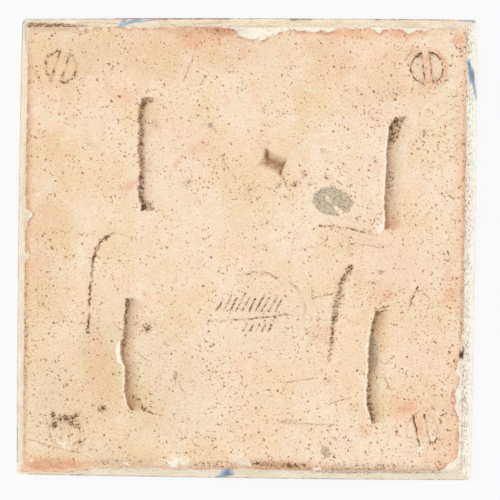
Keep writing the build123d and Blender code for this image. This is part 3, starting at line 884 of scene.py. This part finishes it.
dirt = dabbed(GRIT_DABS, 0.7) * (row < 3)
grit_and_shade = np.maximum(grit_and_shade, dirt)
stain_and_shade = np.maximum.reduce((stain_and_shade, 0.45 * dirt, dabbed(STAIN_DABS, 0.8) * (row < 3)))
chalk_and_highlight = np.maximum(chalk_and_highlight, dabbed(CHALK_DABS, 0.7))
hints = {
    "glaze": glaze, "blue": blue, "milk": milk, "pitted": pitted,
    "grit_and_shade": grit_and_shade, "chalk_and_highlight": chalk_and_highlight, "stain_and_shade": stain_and_shade,
    "warm": np.maximum(warm, dabbed(WARM_DABS, 0.8)),
    "grey": dabbed(GREY_DABS, 0.22) - dabbed(SMUDGE_BREAKS, 0.5),
    "crowd": dabbed(CROWD_DABS, 0.6), "straw": np.maximum(straw, dabbed(STRAW_DABS, 0.8)),
    "pale": dabbed(PALE_DABS, 0.8),
}
rim_places = np.column_stack((rim_along, rim_run, 0.1 * flat_x + 0.17 * flat_y))
layer = tile.data.attributes.new("rim", "FLOAT_VECTOR", "POINT")
layer.data.foreach_set("vector", rim_places.ravel())
for name, values in hints.items():
    layer = tile.data.attributes.new(name, "FLOAT", "POINT")
    layer.data.foreach_set("value", values.astype(np.float32))
    print("hint", name, "from", round(float(values.min()), 2), "to", round(float(values.max()), 2))

# %% [markdown]
# ## Node helpers
#
# Materials are wired with a few small helpers: they add a node and fill its sockets with numbers or links,
# start a material, or a node group with named sockets, or turn a screen colour into the linear values that
# nodes take.


# %% Wiring helpers
def paint(red, green, blue_part):
    """A colour as one reads it on a screen, 0 to 255, in linear values."""
    parts = [v / 255 for v in (red, green, blue_part)]
    return [v / 12.92 if v <= 0.04045 else ((v + 0.055) / 1.055) ** 2.4 for v in parts] + [1.0]


def fill_socket(tree, socket, value):
    if isinstance(value, bpy.types.NodeSocket):
        tree.links.new(value, socket)
    else:
        socket.default_value = value


def add_node(tree, kind, inputs=None, **settings):
    """A node with its settings, each named input set to a value or linked to another node's socket."""
    made = tree.nodes.new(kind)
    for name, value in settings.items():
        setattr(made, name, value)
    for name, value in (inputs or {}).items():
        fill_socket(tree, made.inputs[name], value)
    return made


def math(tree, operation, first, second=0.0, clamp=False):
    made = add_node(tree, "ShaderNodeMath", {0: first, 1: second}, operation=operation, use_clamp=clamp)
    return made.outputs[0]


def ramp(tree, value, low, high, to_low=0.0, to_high=1.0):
    """A soft step of a value between two limits."""
    made = add_node(
        tree, "ShaderNodeMapRange",
        {"Value": value, "From Min": low, "From Max": high, "To Min": to_low, "To Max": to_high},
        interpolation_type="SMOOTHSTEP",
    )
    return made.outputs["Result"]


def blend_colour(tree, share, first, second, how="MIX"):
    made = add_node(tree, "ShaderNodeMix", data_type="RGBA", blend_type=how, clamp_factor=True)
    for place, value in ((0, share), (6, first), (7, second)):
        fill_socket(tree, made.inputs[place], value)
    return made.outputs[2]


def blend_value(tree, share, first, second):
    made = add_node(tree, "ShaderNodeMix", data_type="FLOAT")
    for place, value in ((0, share), (2, first), (3, second)):
        fill_socket(tree, made.inputs[place], value)
    return made.outputs[0]


def cloud(tree, where, size, detail=3.0, roughness=0.5, shift=0.0):
    """Noise from 0 to 1 with lumps of that size in millimetres."""
    moved = add_node(
        tree, "ShaderNodeVectorMath", {0: where, 1: (shift, shift * 0.7, shift * 1.3)}, operation="ADD"
    )
    made = add_node(
        tree, "ShaderNodeTexNoise",
        {"Vector": moved.outputs[0], "Scale": 1 / size, "Detail": detail, "Roughness": roughness},
    )
    return made.outputs["Fac"]


def ripple(tree, where, *settings):
    """The same noise, from -0.5 to 0.5."""
    return math(tree, "SUBTRACT", cloud(tree, where, *settings), 0.5)


def add_share(tree, first, second, share):
    """The first value plus a share of the second."""
    return math(tree, "ADD", first, math(tree, "MULTIPLY", second, share))


def lay_over(tree, mask, strength, under, over):
    """One colour over another where the mask has it, at that strength."""
    return blend_colour(tree, math(tree, "MULTIPLY", mask, strength), under, over)


def scaled(tree, where, factors):
    return add_node(tree, "ShaderNodeVectorMath", {0: where, 1: factors}, operation="MULTIPLY").outputs[0]


def start_material(name, settings):
    """A material with one skin: itself, its tree, the skin and the object's own place in millimetres."""
    made = bpy.data.materials.new(name)
    made.use_nodes = True
    tree = made.node_tree
    tree.nodes.clear()
    surface = tree.nodes.new("ShaderNodeOutputMaterial")
    skin = add_node(tree, "ShaderNodeBsdfPrincipled", settings)
    tree.links.new(skin.outputs["BSDF"], surface.inputs["Surface"])
    coords = tree.nodes.new("ShaderNodeTexCoord").outputs["Object"]
    where = add_node(tree, "ShaderNodeVectorMath", {0: coords, "Scale": 1 / MM}, operation="SCALE")
    return made, tree, skin, where.outputs[0]


def start_group(name, inputs, outputs):
    """An empty shader group with named sockets, given as name, socket type and starting value."""
    tree = bpy.data.node_groups.new(name, "ShaderNodeTree")
    for label, kind, value in inputs:
        socket = tree.interface.new_socket(label, in_out="INPUT", socket_type=kind)
        if value is not None:
            socket.default_value = value
    for label, kind in outputs:
        tree.interface.new_socket(label, in_out="OUTPUT", socket_type=kind)
    return tree, tree.nodes.new("NodeGroupInput").outputs, tree.nodes.new("NodeGroupOutput").inputs


def use_group(tree, group, inputs):
    made = tree.nodes.new("ShaderNodeGroup")
    made.node_tree = group
    for name, value in inputs.items():
        fill_socket(tree, made.inputs[name], value)
    return made.outputs


print("wiring helpers ready")

# %% [markdown]
# ## Specks and glaze as groups
#
# Pits and dark grains are everywhere: sparse on the smooth glaze, thick in the clay. A cell pattern with a
# random number for each cell keeps only some cells and varies their size, which looks more like grog than
# plain noise. The glaze is shared by the edges and the painted face, so it is a group too. On the edges it
# is given the rim's own coordinates, so that its streaks run along the edge.

# %% Speck group
specks, have, give = start_group(
    "specks",
    [
        ("Vector", "NodeSocketVector", None), ("Spacing", "NodeSocketFloat", 1.5),
        ("Share", "NodeSocketFloat", 0.4), ("Size", "NodeSocketFloat", 0.3),
        ("Stretch", "NodeSocketFloat", 1.0),
    ],
    [("Mask", "NodeSocketFloat"), ("Tone", "NodeSocketFloat")],
)
swirl = add_node(specks, "ShaderNodeTexNoise", {"Vector": have["Vector"], "Scale": 1.9, "Detail": 2.0})
centred = add_node(
    specks, "ShaderNodeVectorMath", {0: swirl.outputs["Color"], 1: (0.5, 0.5, 0.5)}, operation="SUBTRACT"
)
warped = add_node(
    specks, "ShaderNodeVectorMath", {0: centred.outputs[0], 1: (1.1, 1.1, 1.1), 2: have["Vector"]},
    operation="MULTIPLY_ADD",
)
slant = add_node(specks, "ShaderNodeMapping", {"Vector": warped.outputs[0], "Rotation": (0, 0, radians(-38))})
thin = add_node(specks, "ShaderNodeCombineXYZ", {"X": 1.0, "Y": have["Stretch"], "Z": 1.0})
squeezed = scaled(specks, slant.outputs[0], thin.outputs[0])
cells = add_node(
    specks, "ShaderNodeTexVoronoi",
    {"Vector": squeezed, "Scale": math(specks, "DIVIDE", 1.0, have["Spacing"])},
)
chance = add_node(specks, "ShaderNodeSeparateColor", {"Color": cells.outputs["Color"]})
kept = math(specks, "LESS_THAN", chance.outputs["Red"], have["Share"])
varied = add_share(specks, 0.22, math(specks, "POWER", chance.outputs["Green"], 1.5), 0.8)
radius = math(specks, "MULTIPLY", have["Size"], varied)
inside = ramp(specks, math(specks, "SUBTRACT", radius, cells.outputs["Distance"]), -0.05, 0.08)
specks.links.new(math(specks, "MULTIPLY", kept, inside), give["Mask"])
specks.links.new(chance.outputs["Blue"], give["Tone"])
print("group", specks.name, "with", len(specks.nodes), "nodes")

# %% Glaze group
glaze_skin, have, give = start_group(
    "glaze_skin",
    [
        ("Vector", "NodeSocketVector", None), ("Pitted", "NodeSocketFloat", 0.3),
        ("Milk", "NodeSocketFloat", 0.6),
    ],
    [("Color", "NodeSocketColor"), ("Pits", "NodeSocketFloat"), ("Roughness", "NodeSocketFloat")],
)
pool = cloud(glaze_skin, have["Vector"], 7.0, 3.0, 0.55, 40.0)
drawn_out = scaled(glaze_skin, have["Vector"], (0.6, 1.0, 1.0))
streaked = scaled(glaze_skin, have["Vector"], (0.1, 0.8, 1.0))
puddle = ramp(glaze_skin, pool, 0.3, 0.7)
thin_tone = blend_colour(glaze_skin, puddle, paint(240, 220, 190), paint(228, 204, 168))
thick_tone = blend_colour(glaze_skin, puddle, paint(252, 249, 235), paint(248, 240, 220))
tone = blend_colour(glaze_skin, have["Milk"], thin_tone, thick_tone)
streak = cloud(glaze_skin, drawn_out, 1.2, 4.0, 0.65, 50.0)
tone = blend_colour(glaze_skin, ramp(glaze_skin, streak, 0.5, 0.72, 0.0, 0.5), tone, paint(220, 194, 162))
trimming = ramp(glaze_skin, cloud(glaze_skin, streaked, 1.0, 4.0, 0.6, 54.0), 0.52, 0.68, 0.0, 0.34)
trimming = math(glaze_skin, "MULTIPLY", trimming, math(glaze_skin, "SUBTRACT", 1.0, have["Milk"]), True)
tone = blend_colour(glaze_skin, trimming, tone, paint(176, 142, 106))
holes = use_group(
    glaze_skin, specks,
    {"Vector": drawn_out, "Spacing": 0.55, "Share": have["Pitted"], "Size": 0.44, "Stretch": 1.0},
)
hole_depth = ramp(glaze_skin, holes["Tone"], 0, 1, 0.3, 0.95)
tone = lay_over(glaze_skin, holes["Mask"], hole_depth, tone, paint(128, 106, 80))
dash = ramp(glaze_skin, cloud(glaze_skin, drawn_out, 0.65, 2.0, 0.5, 58.0), 0.55, 0.64, 0.0, 0.95)
dash = math(glaze_skin, "MULTIPLY", dash, have["Pitted"])
tone = blend_colour(glaze_skin, dash, tone, paint(140, 116, 88))
glaze_skin.links.new(tone, give["Color"])
glaze_skin.links.new(holes["Mask"], give["Pits"])
glaze_skin.links.new(ramp(glaze_skin, pool, 0.2, 0.8, 0.2, 0.45), give["Roughness"])
print("group", glaze_skin.name, "with", len(glaze_skin.nodes), "nodes")

# %% [markdown]
# ## Fired clay with a glazed rim
#
# The back is buff clay, creamy in the middle and blushed where the kiln was hotter. Slow clouds mix cream,
# straw and peach, the dabs push it to salmon, fine noise gives the grain and pale flecks, and clumps of
# specks, grit and stains darken it, together with painted shade in the keys, the tool mark, a screw print
# and along the foot of the rim, while a painted highlight lightens each key's lip. The glaze line then cuts
# to the shared glaze, the blue strokes lie on top of that, and the strongest grit turns to soot.

# %% Clay ground
CREAM, STRAW, PEACH = paint(246, 225, 198), paint(239, 213, 172), paint(243, 208, 173)
SALMON, RUST, CHALK = paint(238, 181, 145), paint(203, 140, 113), paint(254, 246, 230)
MOSS, STRAW_DEEP, PALE_CREAM = paint(228, 210, 172), paint(222, 194, 148), paint(245, 225, 204)
GRIT_AND_SHADE_DARK, GRIT_AND_SHADE_LIGHT = paint(94, 72, 52), paint(146, 118, 90)
STAIN_AND_SHADE_BROWN, STAIN_AND_SHADE_DARK = paint(180, 138, 102), paint(112, 76, 50)
SPECK_DARK, SPECK_MIDDLE, SPECK_LIGHT = paint(84, 46, 26), paint(150, 92, 52), paint(202, 138, 82)
SMUDGE, SMUDGE_DARK = paint(203, 185, 160), paint(138, 124, 104)
COBALT, PALE_BLUE, SOOT = paint(56, 98, 142), paint(154, 177, 190), paint(50, 46, 40)

clay, tree, skin, where = start_material("fired_clay_and_glaze", {"IOR": 1.45})
hint = {
    name: add_node(tree, "ShaderNodeAttribute", attribute_name=name, attribute_type="GEOMETRY").outputs["Fac"]
    for name in hints
}
colour = blend_colour(tree, ramp(tree, cloud(tree, where, 16.0, 4.0, 0.55), 0.38, 0.66), CREAM, STRAW)
blush = ramp(tree, cloud(tree, where, 26.0, 4.0, 0.55, 11.0), 0.45, 0.72, 0.0, 0.7)
colour = blend_colour(tree, blush, colour, PEACH)
for tint, size, shift in ((CHALK, 3.0, 23.0), (SALMON, 4.0, 27.0), (MOSS, 5.0, 29.0), (STRAW, 1.4, 37.0)):
    blotch = cloud(tree, where, size, 5.0, 0.65, shift)
    colour = blend_colour(tree, ramp(tree, blotch, 0.5, 0.75, 0.0, 0.4), colour, tint)
uneven = ramp(tree, cloud(tree, where, 4.5, 5.0, 0.62, 31.0), 0.28, 0.68, 0.25, 1.0)
warmth = math(tree, "MULTIPLY", hint["warm"], uneven)
colour = blend_colour(tree, hint["straw"], colour, STRAW_DEEP)
colour = blend_colour(tree, hint["pale"], colour, PALE_CREAM)
colour = blend_colour(tree, warmth, colour, SALMON)
colour = blend_colour(tree, ramp(tree, warmth, 0.6, 1.6, 0.0, 0.45), colour, RUST)
print("clay ground uses", len(tree.nodes), "nodes so far")

# %% Grain, specks, grit, stains, painted shade and painted highlight
grain = cloud(tree, where, 0.6, 5.0, 0.7, 61.0)
colour = blend_colour(tree, ramp(tree, grain, 0.5, 0.8, 0.0, 0.5), colour, CHALK)
colour = blend_colour(tree, ramp(tree, grain, 0.5, 0.2, 0.0, 0.55), colour, SPECK_LIGHT)
flecks = cloud(tree, where, 0.42, 3.0, 0.6, 67.0)
colour = blend_colour(tree, ramp(tree, flecks, 0.52, 0.74, 0.0, 0.62), colour, CHALK)
colour = blend_colour(tree, ramp(tree, flecks, 0.46, 0.26, 0.0, 0.42), colour, SPECK_LIGHT)
crowd = add_share(tree, cloud(tree, where, 12.0, 4.0, 0.6, 83.0), hint["crowd"], 0.2)
flocks = ripple(tree, where, 2.6, 2.0, 0.5, 87.0)
crowd = ramp(tree, add_share(tree, crowd, flocks, 1.1), 0.3, 0.84)
SPECK_LAYERS = ((0.8, 0.12, 0.66, 0.36, 0.3), (1.3, 0.08, 0.58, 0.27, 0.55), (3.0, 0.03, 0.3, 0.17, 1.0))
SPECK_STRETCH = 0.62
hollow = 0.0
for spacing, few, many, size, paleness in SPECK_LAYERS:
    kept_share = ramp(tree, crowd, 0, 1, few, many)
    speck = use_group(tree, specks, {
        "Vector": where, "Spacing": spacing, "Share": kept_share, "Size": size, "Stretch": SPECK_STRETCH,
    })
    speck_tone = blend_colour(tree, math(tree, "POWER", speck["Tone"], paleness), SPECK_DARK, SPECK_LIGHT)
    colour = lay_over(tree, speck["Mask"], 0.85, colour, speck_tone)
    hollow = math(tree, "MAXIMUM", hollow, speck["Mask"])
squiggle = ramp(tree, add_share(tree, cloud(tree, where, 0.8, 3.0, 0.55, 77.0), crowd, 0.06), 0.66, 0.74)
colour = lay_over(tree, squiggle, 0.75, colour, SPECK_MIDDLE)
crumbs = cloud(tree, where, 0.55, 3.0, 0.6, 97.0)
clumps = cloud(tree, where, 1.3, 3.0, 0.6, 99.0)
broken = math(tree, "ADD", math(tree, "MULTIPLY", crumbs, 3.0), math(tree, "MULTIPLY", clumps, 2.0))
broken = math(tree, "SUBTRACT", broken, 2.5)
# Even brown from stains, which also paints the shade beside each key's wall and in the tool mark; past 0.9 it
# deepens to a darker brown.
soiled_and_shaded = hint["stain_and_shade"]
stained_and_shaded = math(tree, "MULTIPLY", soiled_and_shaded, add_share(tree, 0.85, broken, 0.75), True)
colour = blend_colour(tree, stained_and_shaded, colour, STAIN_AND_SHADE_BROWN)
darkest = ramp(tree, soiled_and_shaded, 0.9, 1.7, 0.0, 0.9)
colour = blend_colour(tree, darkest, colour, STAIN_AND_SHADE_DARK)
# Dark crumbs, which also paint the shade at the keys' walls and ends, in the tool mark, at a screw print and
# along the foot of the rim.
gritty_and_shaded = ramp(tree, math(tree, "ADD", hint["grit_and_shade"], broken), 0.78, 1.1)
grit_and_shade_tone = blend_colour(tree, ramp(tree, crumbs, 0.42, 0.6), GRIT_AND_SHADE_LIGHT, GRIT_AND_SHADE_DARK)
colour = lay_over(tree, gritty_and_shaded, 0.92, colour, grit_and_shade_tone)
# Pale chalky clay and chips, with the painted highlight along each key's lip.
chalky_and_highlit = ramp(tree, add_share(tree, hint["chalk_and_highlight"], broken, 0.6), 0.4, 0.9)
colour = lay_over(tree, chalky_and_highlit, 0.85, colour, CHALK)
smear = ramp(tree, add_share(tree, hint["grey"], broken, 0.5), 0.32, 0.5)
smear_tone = blend_colour(tree, ramp(tree, crumbs, 0.36, 0.56), SMUDGE_DARK, SMUDGE)
colour = lay_over(tree, smear, 0.85, colour, smear_tone)
print("clay colour uses", len(tree.nodes), "nodes so far")

# %% Glaze line, brush strokes and relief
edge_noise = ripple(tree, where, 0.9, 4.0, 0.65, 5.0)
glaze_line = add_share(tree, hint["glaze"], edge_noise, 1.1)
patchy = ramp(tree, cloud(tree, where, 2.6, 3.0, 0.6, 9.0), 0.35, 0.65)
fringe = math(tree, "MULTIPLY", ramp(tree, glaze_line, -1.8, -0.1), patchy)
colour = lay_over(tree, fringe, 0.78, colour, RUST)
glazed = ramp(tree, glaze_line, -0.06, 0.1)
around = add_node(tree, "ShaderNodeAttribute", attribute_name="rim", attribute_type="GEOMETRY")
milk_skin = use_group(
    tree, glaze_skin,
    {"Vector": around.outputs["Vector"], "Pitted": hint["pitted"], "Milk": hint["milk"]},
)
brush = add_share(tree, hint["blue"], edge_noise, 1.2)
brushed = ramp(tree, brush, -0.25, 0.35)
pooled = add_share(tree, brush, cloud(tree, where, 1.8, 3.0, 0.6, 19.0), 2.4)
ink = blend_colour(tree, ramp(tree, pooled, 1.5, 3.0), PALE_BLUE, COBALT)
rim_colour = lay_over(tree, brushed, 0.9, milk_skin["Color"], ink)
# On the rim the same browns and crumbs lie over the glaze, and there they include the painted line of shade
# where each edge turns under.
rim_colour = lay_over(tree, stained_and_shaded, 0.9, rim_colour, STAIN_AND_SHADE_BROWN)
rim_colour = blend_colour(tree, darkest, rim_colour, STAIN_AND_SHADE_DARK)
rim_colour = lay_over(tree, gritty_and_shaded, 0.8, rim_colour, grit_and_shade_tone)
colour = blend_colour(tree, glazed, colour, rim_colour)
colour = blend_colour(tree, ramp(tree, hint["grit_and_shade"], 1.4, 2.0), colour, SOOT)
tree.links.new(colour, skin.inputs["Base Color"])
tree.links.new(blend_value(tree, glazed, 0.92, milk_skin["Roughness"]), skin.inputs["Roughness"])
tree.links.new(blend_value(tree, glazed, 0.08, 0.4), skin.inputs["Specular IOR Level"])
sunk = math(tree, "MULTIPLY", math(tree, "ADD", hollow, gritty_and_shaded), 0.4)
clay_height = math(tree, "SUBTRACT", math(tree, "MULTIPLY", grain, 0.6), sunk)
glaze_height = math(tree, "SUBTRACT", 0.9, milk_skin["Pits"])
height = blend_value(tree, glazed, clay_height, glaze_height)
bump = add_node(tree, "ShaderNodeBump", {"Strength": 0.7, "Distance": 0.0002, "Height": height})
tree.links.new(bump.outputs["Normal"], skin.inputs["Normal"])
print("clay material has", len(tree.nodes), "nodes")

# %% [markdown]
# ## The painted face
#
# The side that the tile lies on is hidden, so it is finished plainly: the same milky glaze with a brushed
# blue border of one broad and one fine line, a common way to frame a painted tile. The lines are steps of
# the square distance from the middle, shaken a little so that they look drawn by hand.

# %% Painted face material
BORDER_LINES = ((67.0, 2.3), (61.5, 0.55))
face, tree, skin, where = start_material("painted_face", {"IOR": 1.5, "Specular IOR Level": 0.5})
milk_skin = use_group(tree, glaze_skin, {"Vector": where, "Pitted": 0.05, "Milk": 0.7})
axes = add_node(tree, "ShaderNodeSeparateXYZ", {"Vector": where})
across, upward = [math(tree, "ABSOLUTE", axes.outputs[name]) for name in ("X", "Y")]
square = math(tree, "MAXIMUM", across, upward)
square = add_share(tree, square, ripple(tree, where, 24.0, 3.0, 0.5, 3.0), 2.4)
bristle = math(tree, "MULTIPLY", ripple(tree, where, 1.6, 4.0, 0.6, 6.0), 0.9)
brushed = None
for place, half in BORDER_LINES:
    away = math(tree, "ABSOLUTE", math(tree, "SUBTRACT", square, place))
    band = ramp(tree, math(tree, "ADD", math(tree, "SUBTRACT", half, away), bristle), -0.15, 0.3)
    brushed = band if brushed is None else math(tree, "MAXIMUM", brushed, band)
ink = blend_colour(tree, ramp(tree, cloud(tree, where, 6.0, 4.0, 0.65, 8.0), 0.35, 0.65), PALE_BLUE, COBALT)
face_colour = lay_over(tree, brushed, 0.9, milk_skin["Color"], ink)
tree.links.new(face_colour, skin.inputs["Base Color"])
tree.links.new(milk_skin["Roughness"], skin.inputs["Roughness"])
bump = add_node(
    tree, "ShaderNodeBump", {"Strength": 0.3, "Distance": 0.0001, "Height": milk_skin["Pits"]}, invert=True
)
tree.links.new(bump.outputs["Normal"], skin.inputs["Normal"])
print("painted face has", len(tree.nodes), "nodes")

# %% [markdown]
# ## Dress the tile
#
# The clay material covers the back and the rim, and the face at the bottom takes the painted one. The
# finished piece then stands for the CAD node and rides on the one body.

# %% Assign, smooth and attach to the body
tile.data.materials.append(clay)
tile.data.materials.append(face)
FACE_SIDES = 100
for polygon in tile.data.polygons:
    polygon.material_index = 1 if polygon.loop_total > FACE_SIDES else 0
bpy.ops.object.mode_set(mode="EDIT")
bpy.ops.mesh.select_all(action="SELECT")
bpy.ops.mesh.normals_make_consistent(inside=False)
bpy.ops.object.mode_set(mode="OBJECT")
bpy.ops.object.shade_smooth_by_angle(angle=radians(60))
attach(tile, "root")
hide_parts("tile")
tile.data.calc_loop_triangles()
print("pressed_tile:", len(tile.data.loop_triangles), "triangles")

# %% [markdown]
# ## Floor, light and camera
#
# The tile lies on a plain white floor in a light tent, whose bright walls light the leaning edges as much
# as the back, with a wide lamp at the upper left that models the cuts and a weak one at the right. The
# tent's right wall is a little brighter than its left one. Together they are about as bright as white
# paper, so that colours render as they are written. The floor is whitened for the camera but keeps a soft
# shadow. The camera looks almost straight down from just over a metre with a long lens, a little to the
# right of the middle.

# %% White floor
FLOOR_SIZE = 3.0
FLOOR_DROP = 0.0002
FLOOR_WHITENING = 0.85
bpy.ops.object.select_all(action="DESELECT")
bpy.ops.mesh.primitive_plane_add(size=FLOOR_SIZE, location=(0, 0, -FLOOR_DROP))
floor = bpy.context.object
floor.name = "floor"
paper = bpy.data.materials.new("white_paper")
paper.use_nodes = True
tree = paper.node_tree
sheet = tree.nodes["Principled BSDF"]
sheet.inputs["Base Color"].default_value = paint(248, 248, 249)
sheet.inputs["Roughness"].default_value = 0.9
sheet.inputs["Specular IOR Level"].default_value = 0.1
seen = tree.nodes.new("ShaderNodeLightPath").outputs
mirrored = math(tree, "MAXIMUM", seen["Is Glossy Ray"], seen["Is Transmission Ray"])
straight = math(tree, "MAXIMUM", seen["Is Camera Ray"], mirrored)
white = add_node(tree, "ShaderNodeEmission", {"Color": paint(252, 252, 252), "Strength": 1.0})
whitened = add_node(tree, "ShaderNodeMixShader", {0: math(tree, "MULTIPLY", straight, FLOOR_WHITENING)})
tree.links.new(sheet.outputs["BSDF"], whitened.inputs[1])
tree.links.new(white.outputs["Emission"], whitened.inputs[2])
tree.links.new(whitened.outputs["Shader"], tree.nodes["Material Output"].inputs["Surface"])
floor.data.materials.append(paper)

# %% Soft light
TENT_TOP = 0.5
TENT_SIDES = 1.36
TENT_RIGHT = 0.08
LAMPS = {"window_light": ((-0.62, 0.34, 0.80), 0.85, 40), "fill_light": ((0.8, -0.35, 0.45), 0.35, 90)}
world = bpy.data.worlds.new("light_tent")
bpy.context.scene.world = world
world.use_nodes = True
tree = world.node_tree
direction = tree.nodes.new("ShaderNodeTexCoord").outputs["Generated"]
axes = add_node(tree, "ShaderNodeSeparateXYZ", {"Vector": direction}).outputs
tent = add_node(
    tree, "ShaderNodeMapRange",
    {
        "Value": math(tree, "ABSOLUTE", axes["Z"]), "From Min": 0.0, "From Max": 1.0,
        "To Min": TENT_SIDES, "To Max": TENT_TOP,
    },
)
tree.nodes["Background"].inputs["Color"].default_value = (1, 1, 1, 1)
brightness = add_share(tree, tent.outputs["Result"], axes["X"], TENT_RIGHT)
tree.links.new(brightness, tree.nodes["Background"].inputs["Strength"])
for name, (place, strength, spread) in LAMPS.items():
    bpy.ops.object.light_add(type="SUN", location=place)
    lamp = bpy.context.object
    lamp.name = name
    lamp.data.energy = strength
    lamp.data.angle = radians(spread)
    lamp.rotation_euler = Vector(place).to_track_quat("Z", "Y").to_euler()

# %% Camera
CAMERA_TILT = 4.5
CAMERA_ROLL = 0.573
CAMERA_AIM = Vector((1.365, -0.605, 0.0)) * MM
CAMERA_DISTANCE = 1.2
CAMERA_LENS = 260.36
SENSOR_WIDTH = 36.0
back = Vector((sin(radians(CAMERA_TILT)), 0, cos(radians(CAMERA_TILT))))
right = Vector((0, 1, 0)).cross(back).normalized()
up = back.cross(right)
c, s = cos(radians(CAMERA_ROLL)), sin(radians(CAMERA_ROLL))
right, up = c * right + s * up, c * up - s * right
eye = CAMERA_AIM + CAMERA_DISTANCE * back
bpy.ops.object.camera_add()
camera = bpy.context.object
camera.data.sensor_width = SENSOR_WIDTH
camera.data.lens = CAMERA_LENS
camera.matrix_world = Matrix((
    (right.x, up.x, back.x, eye.x), (right.y, up.y, back.y, eye.y),
    (right.z, up.z, back.z, eye.z), (0, 0, 0, 1),
))
bpy.context.scene.camera = camera
bpy.context.scene.view_settings.view_transform = "Standard"
print("camera at", [round(v, 3) for v in eye], "lens", CAMERA_LENS)
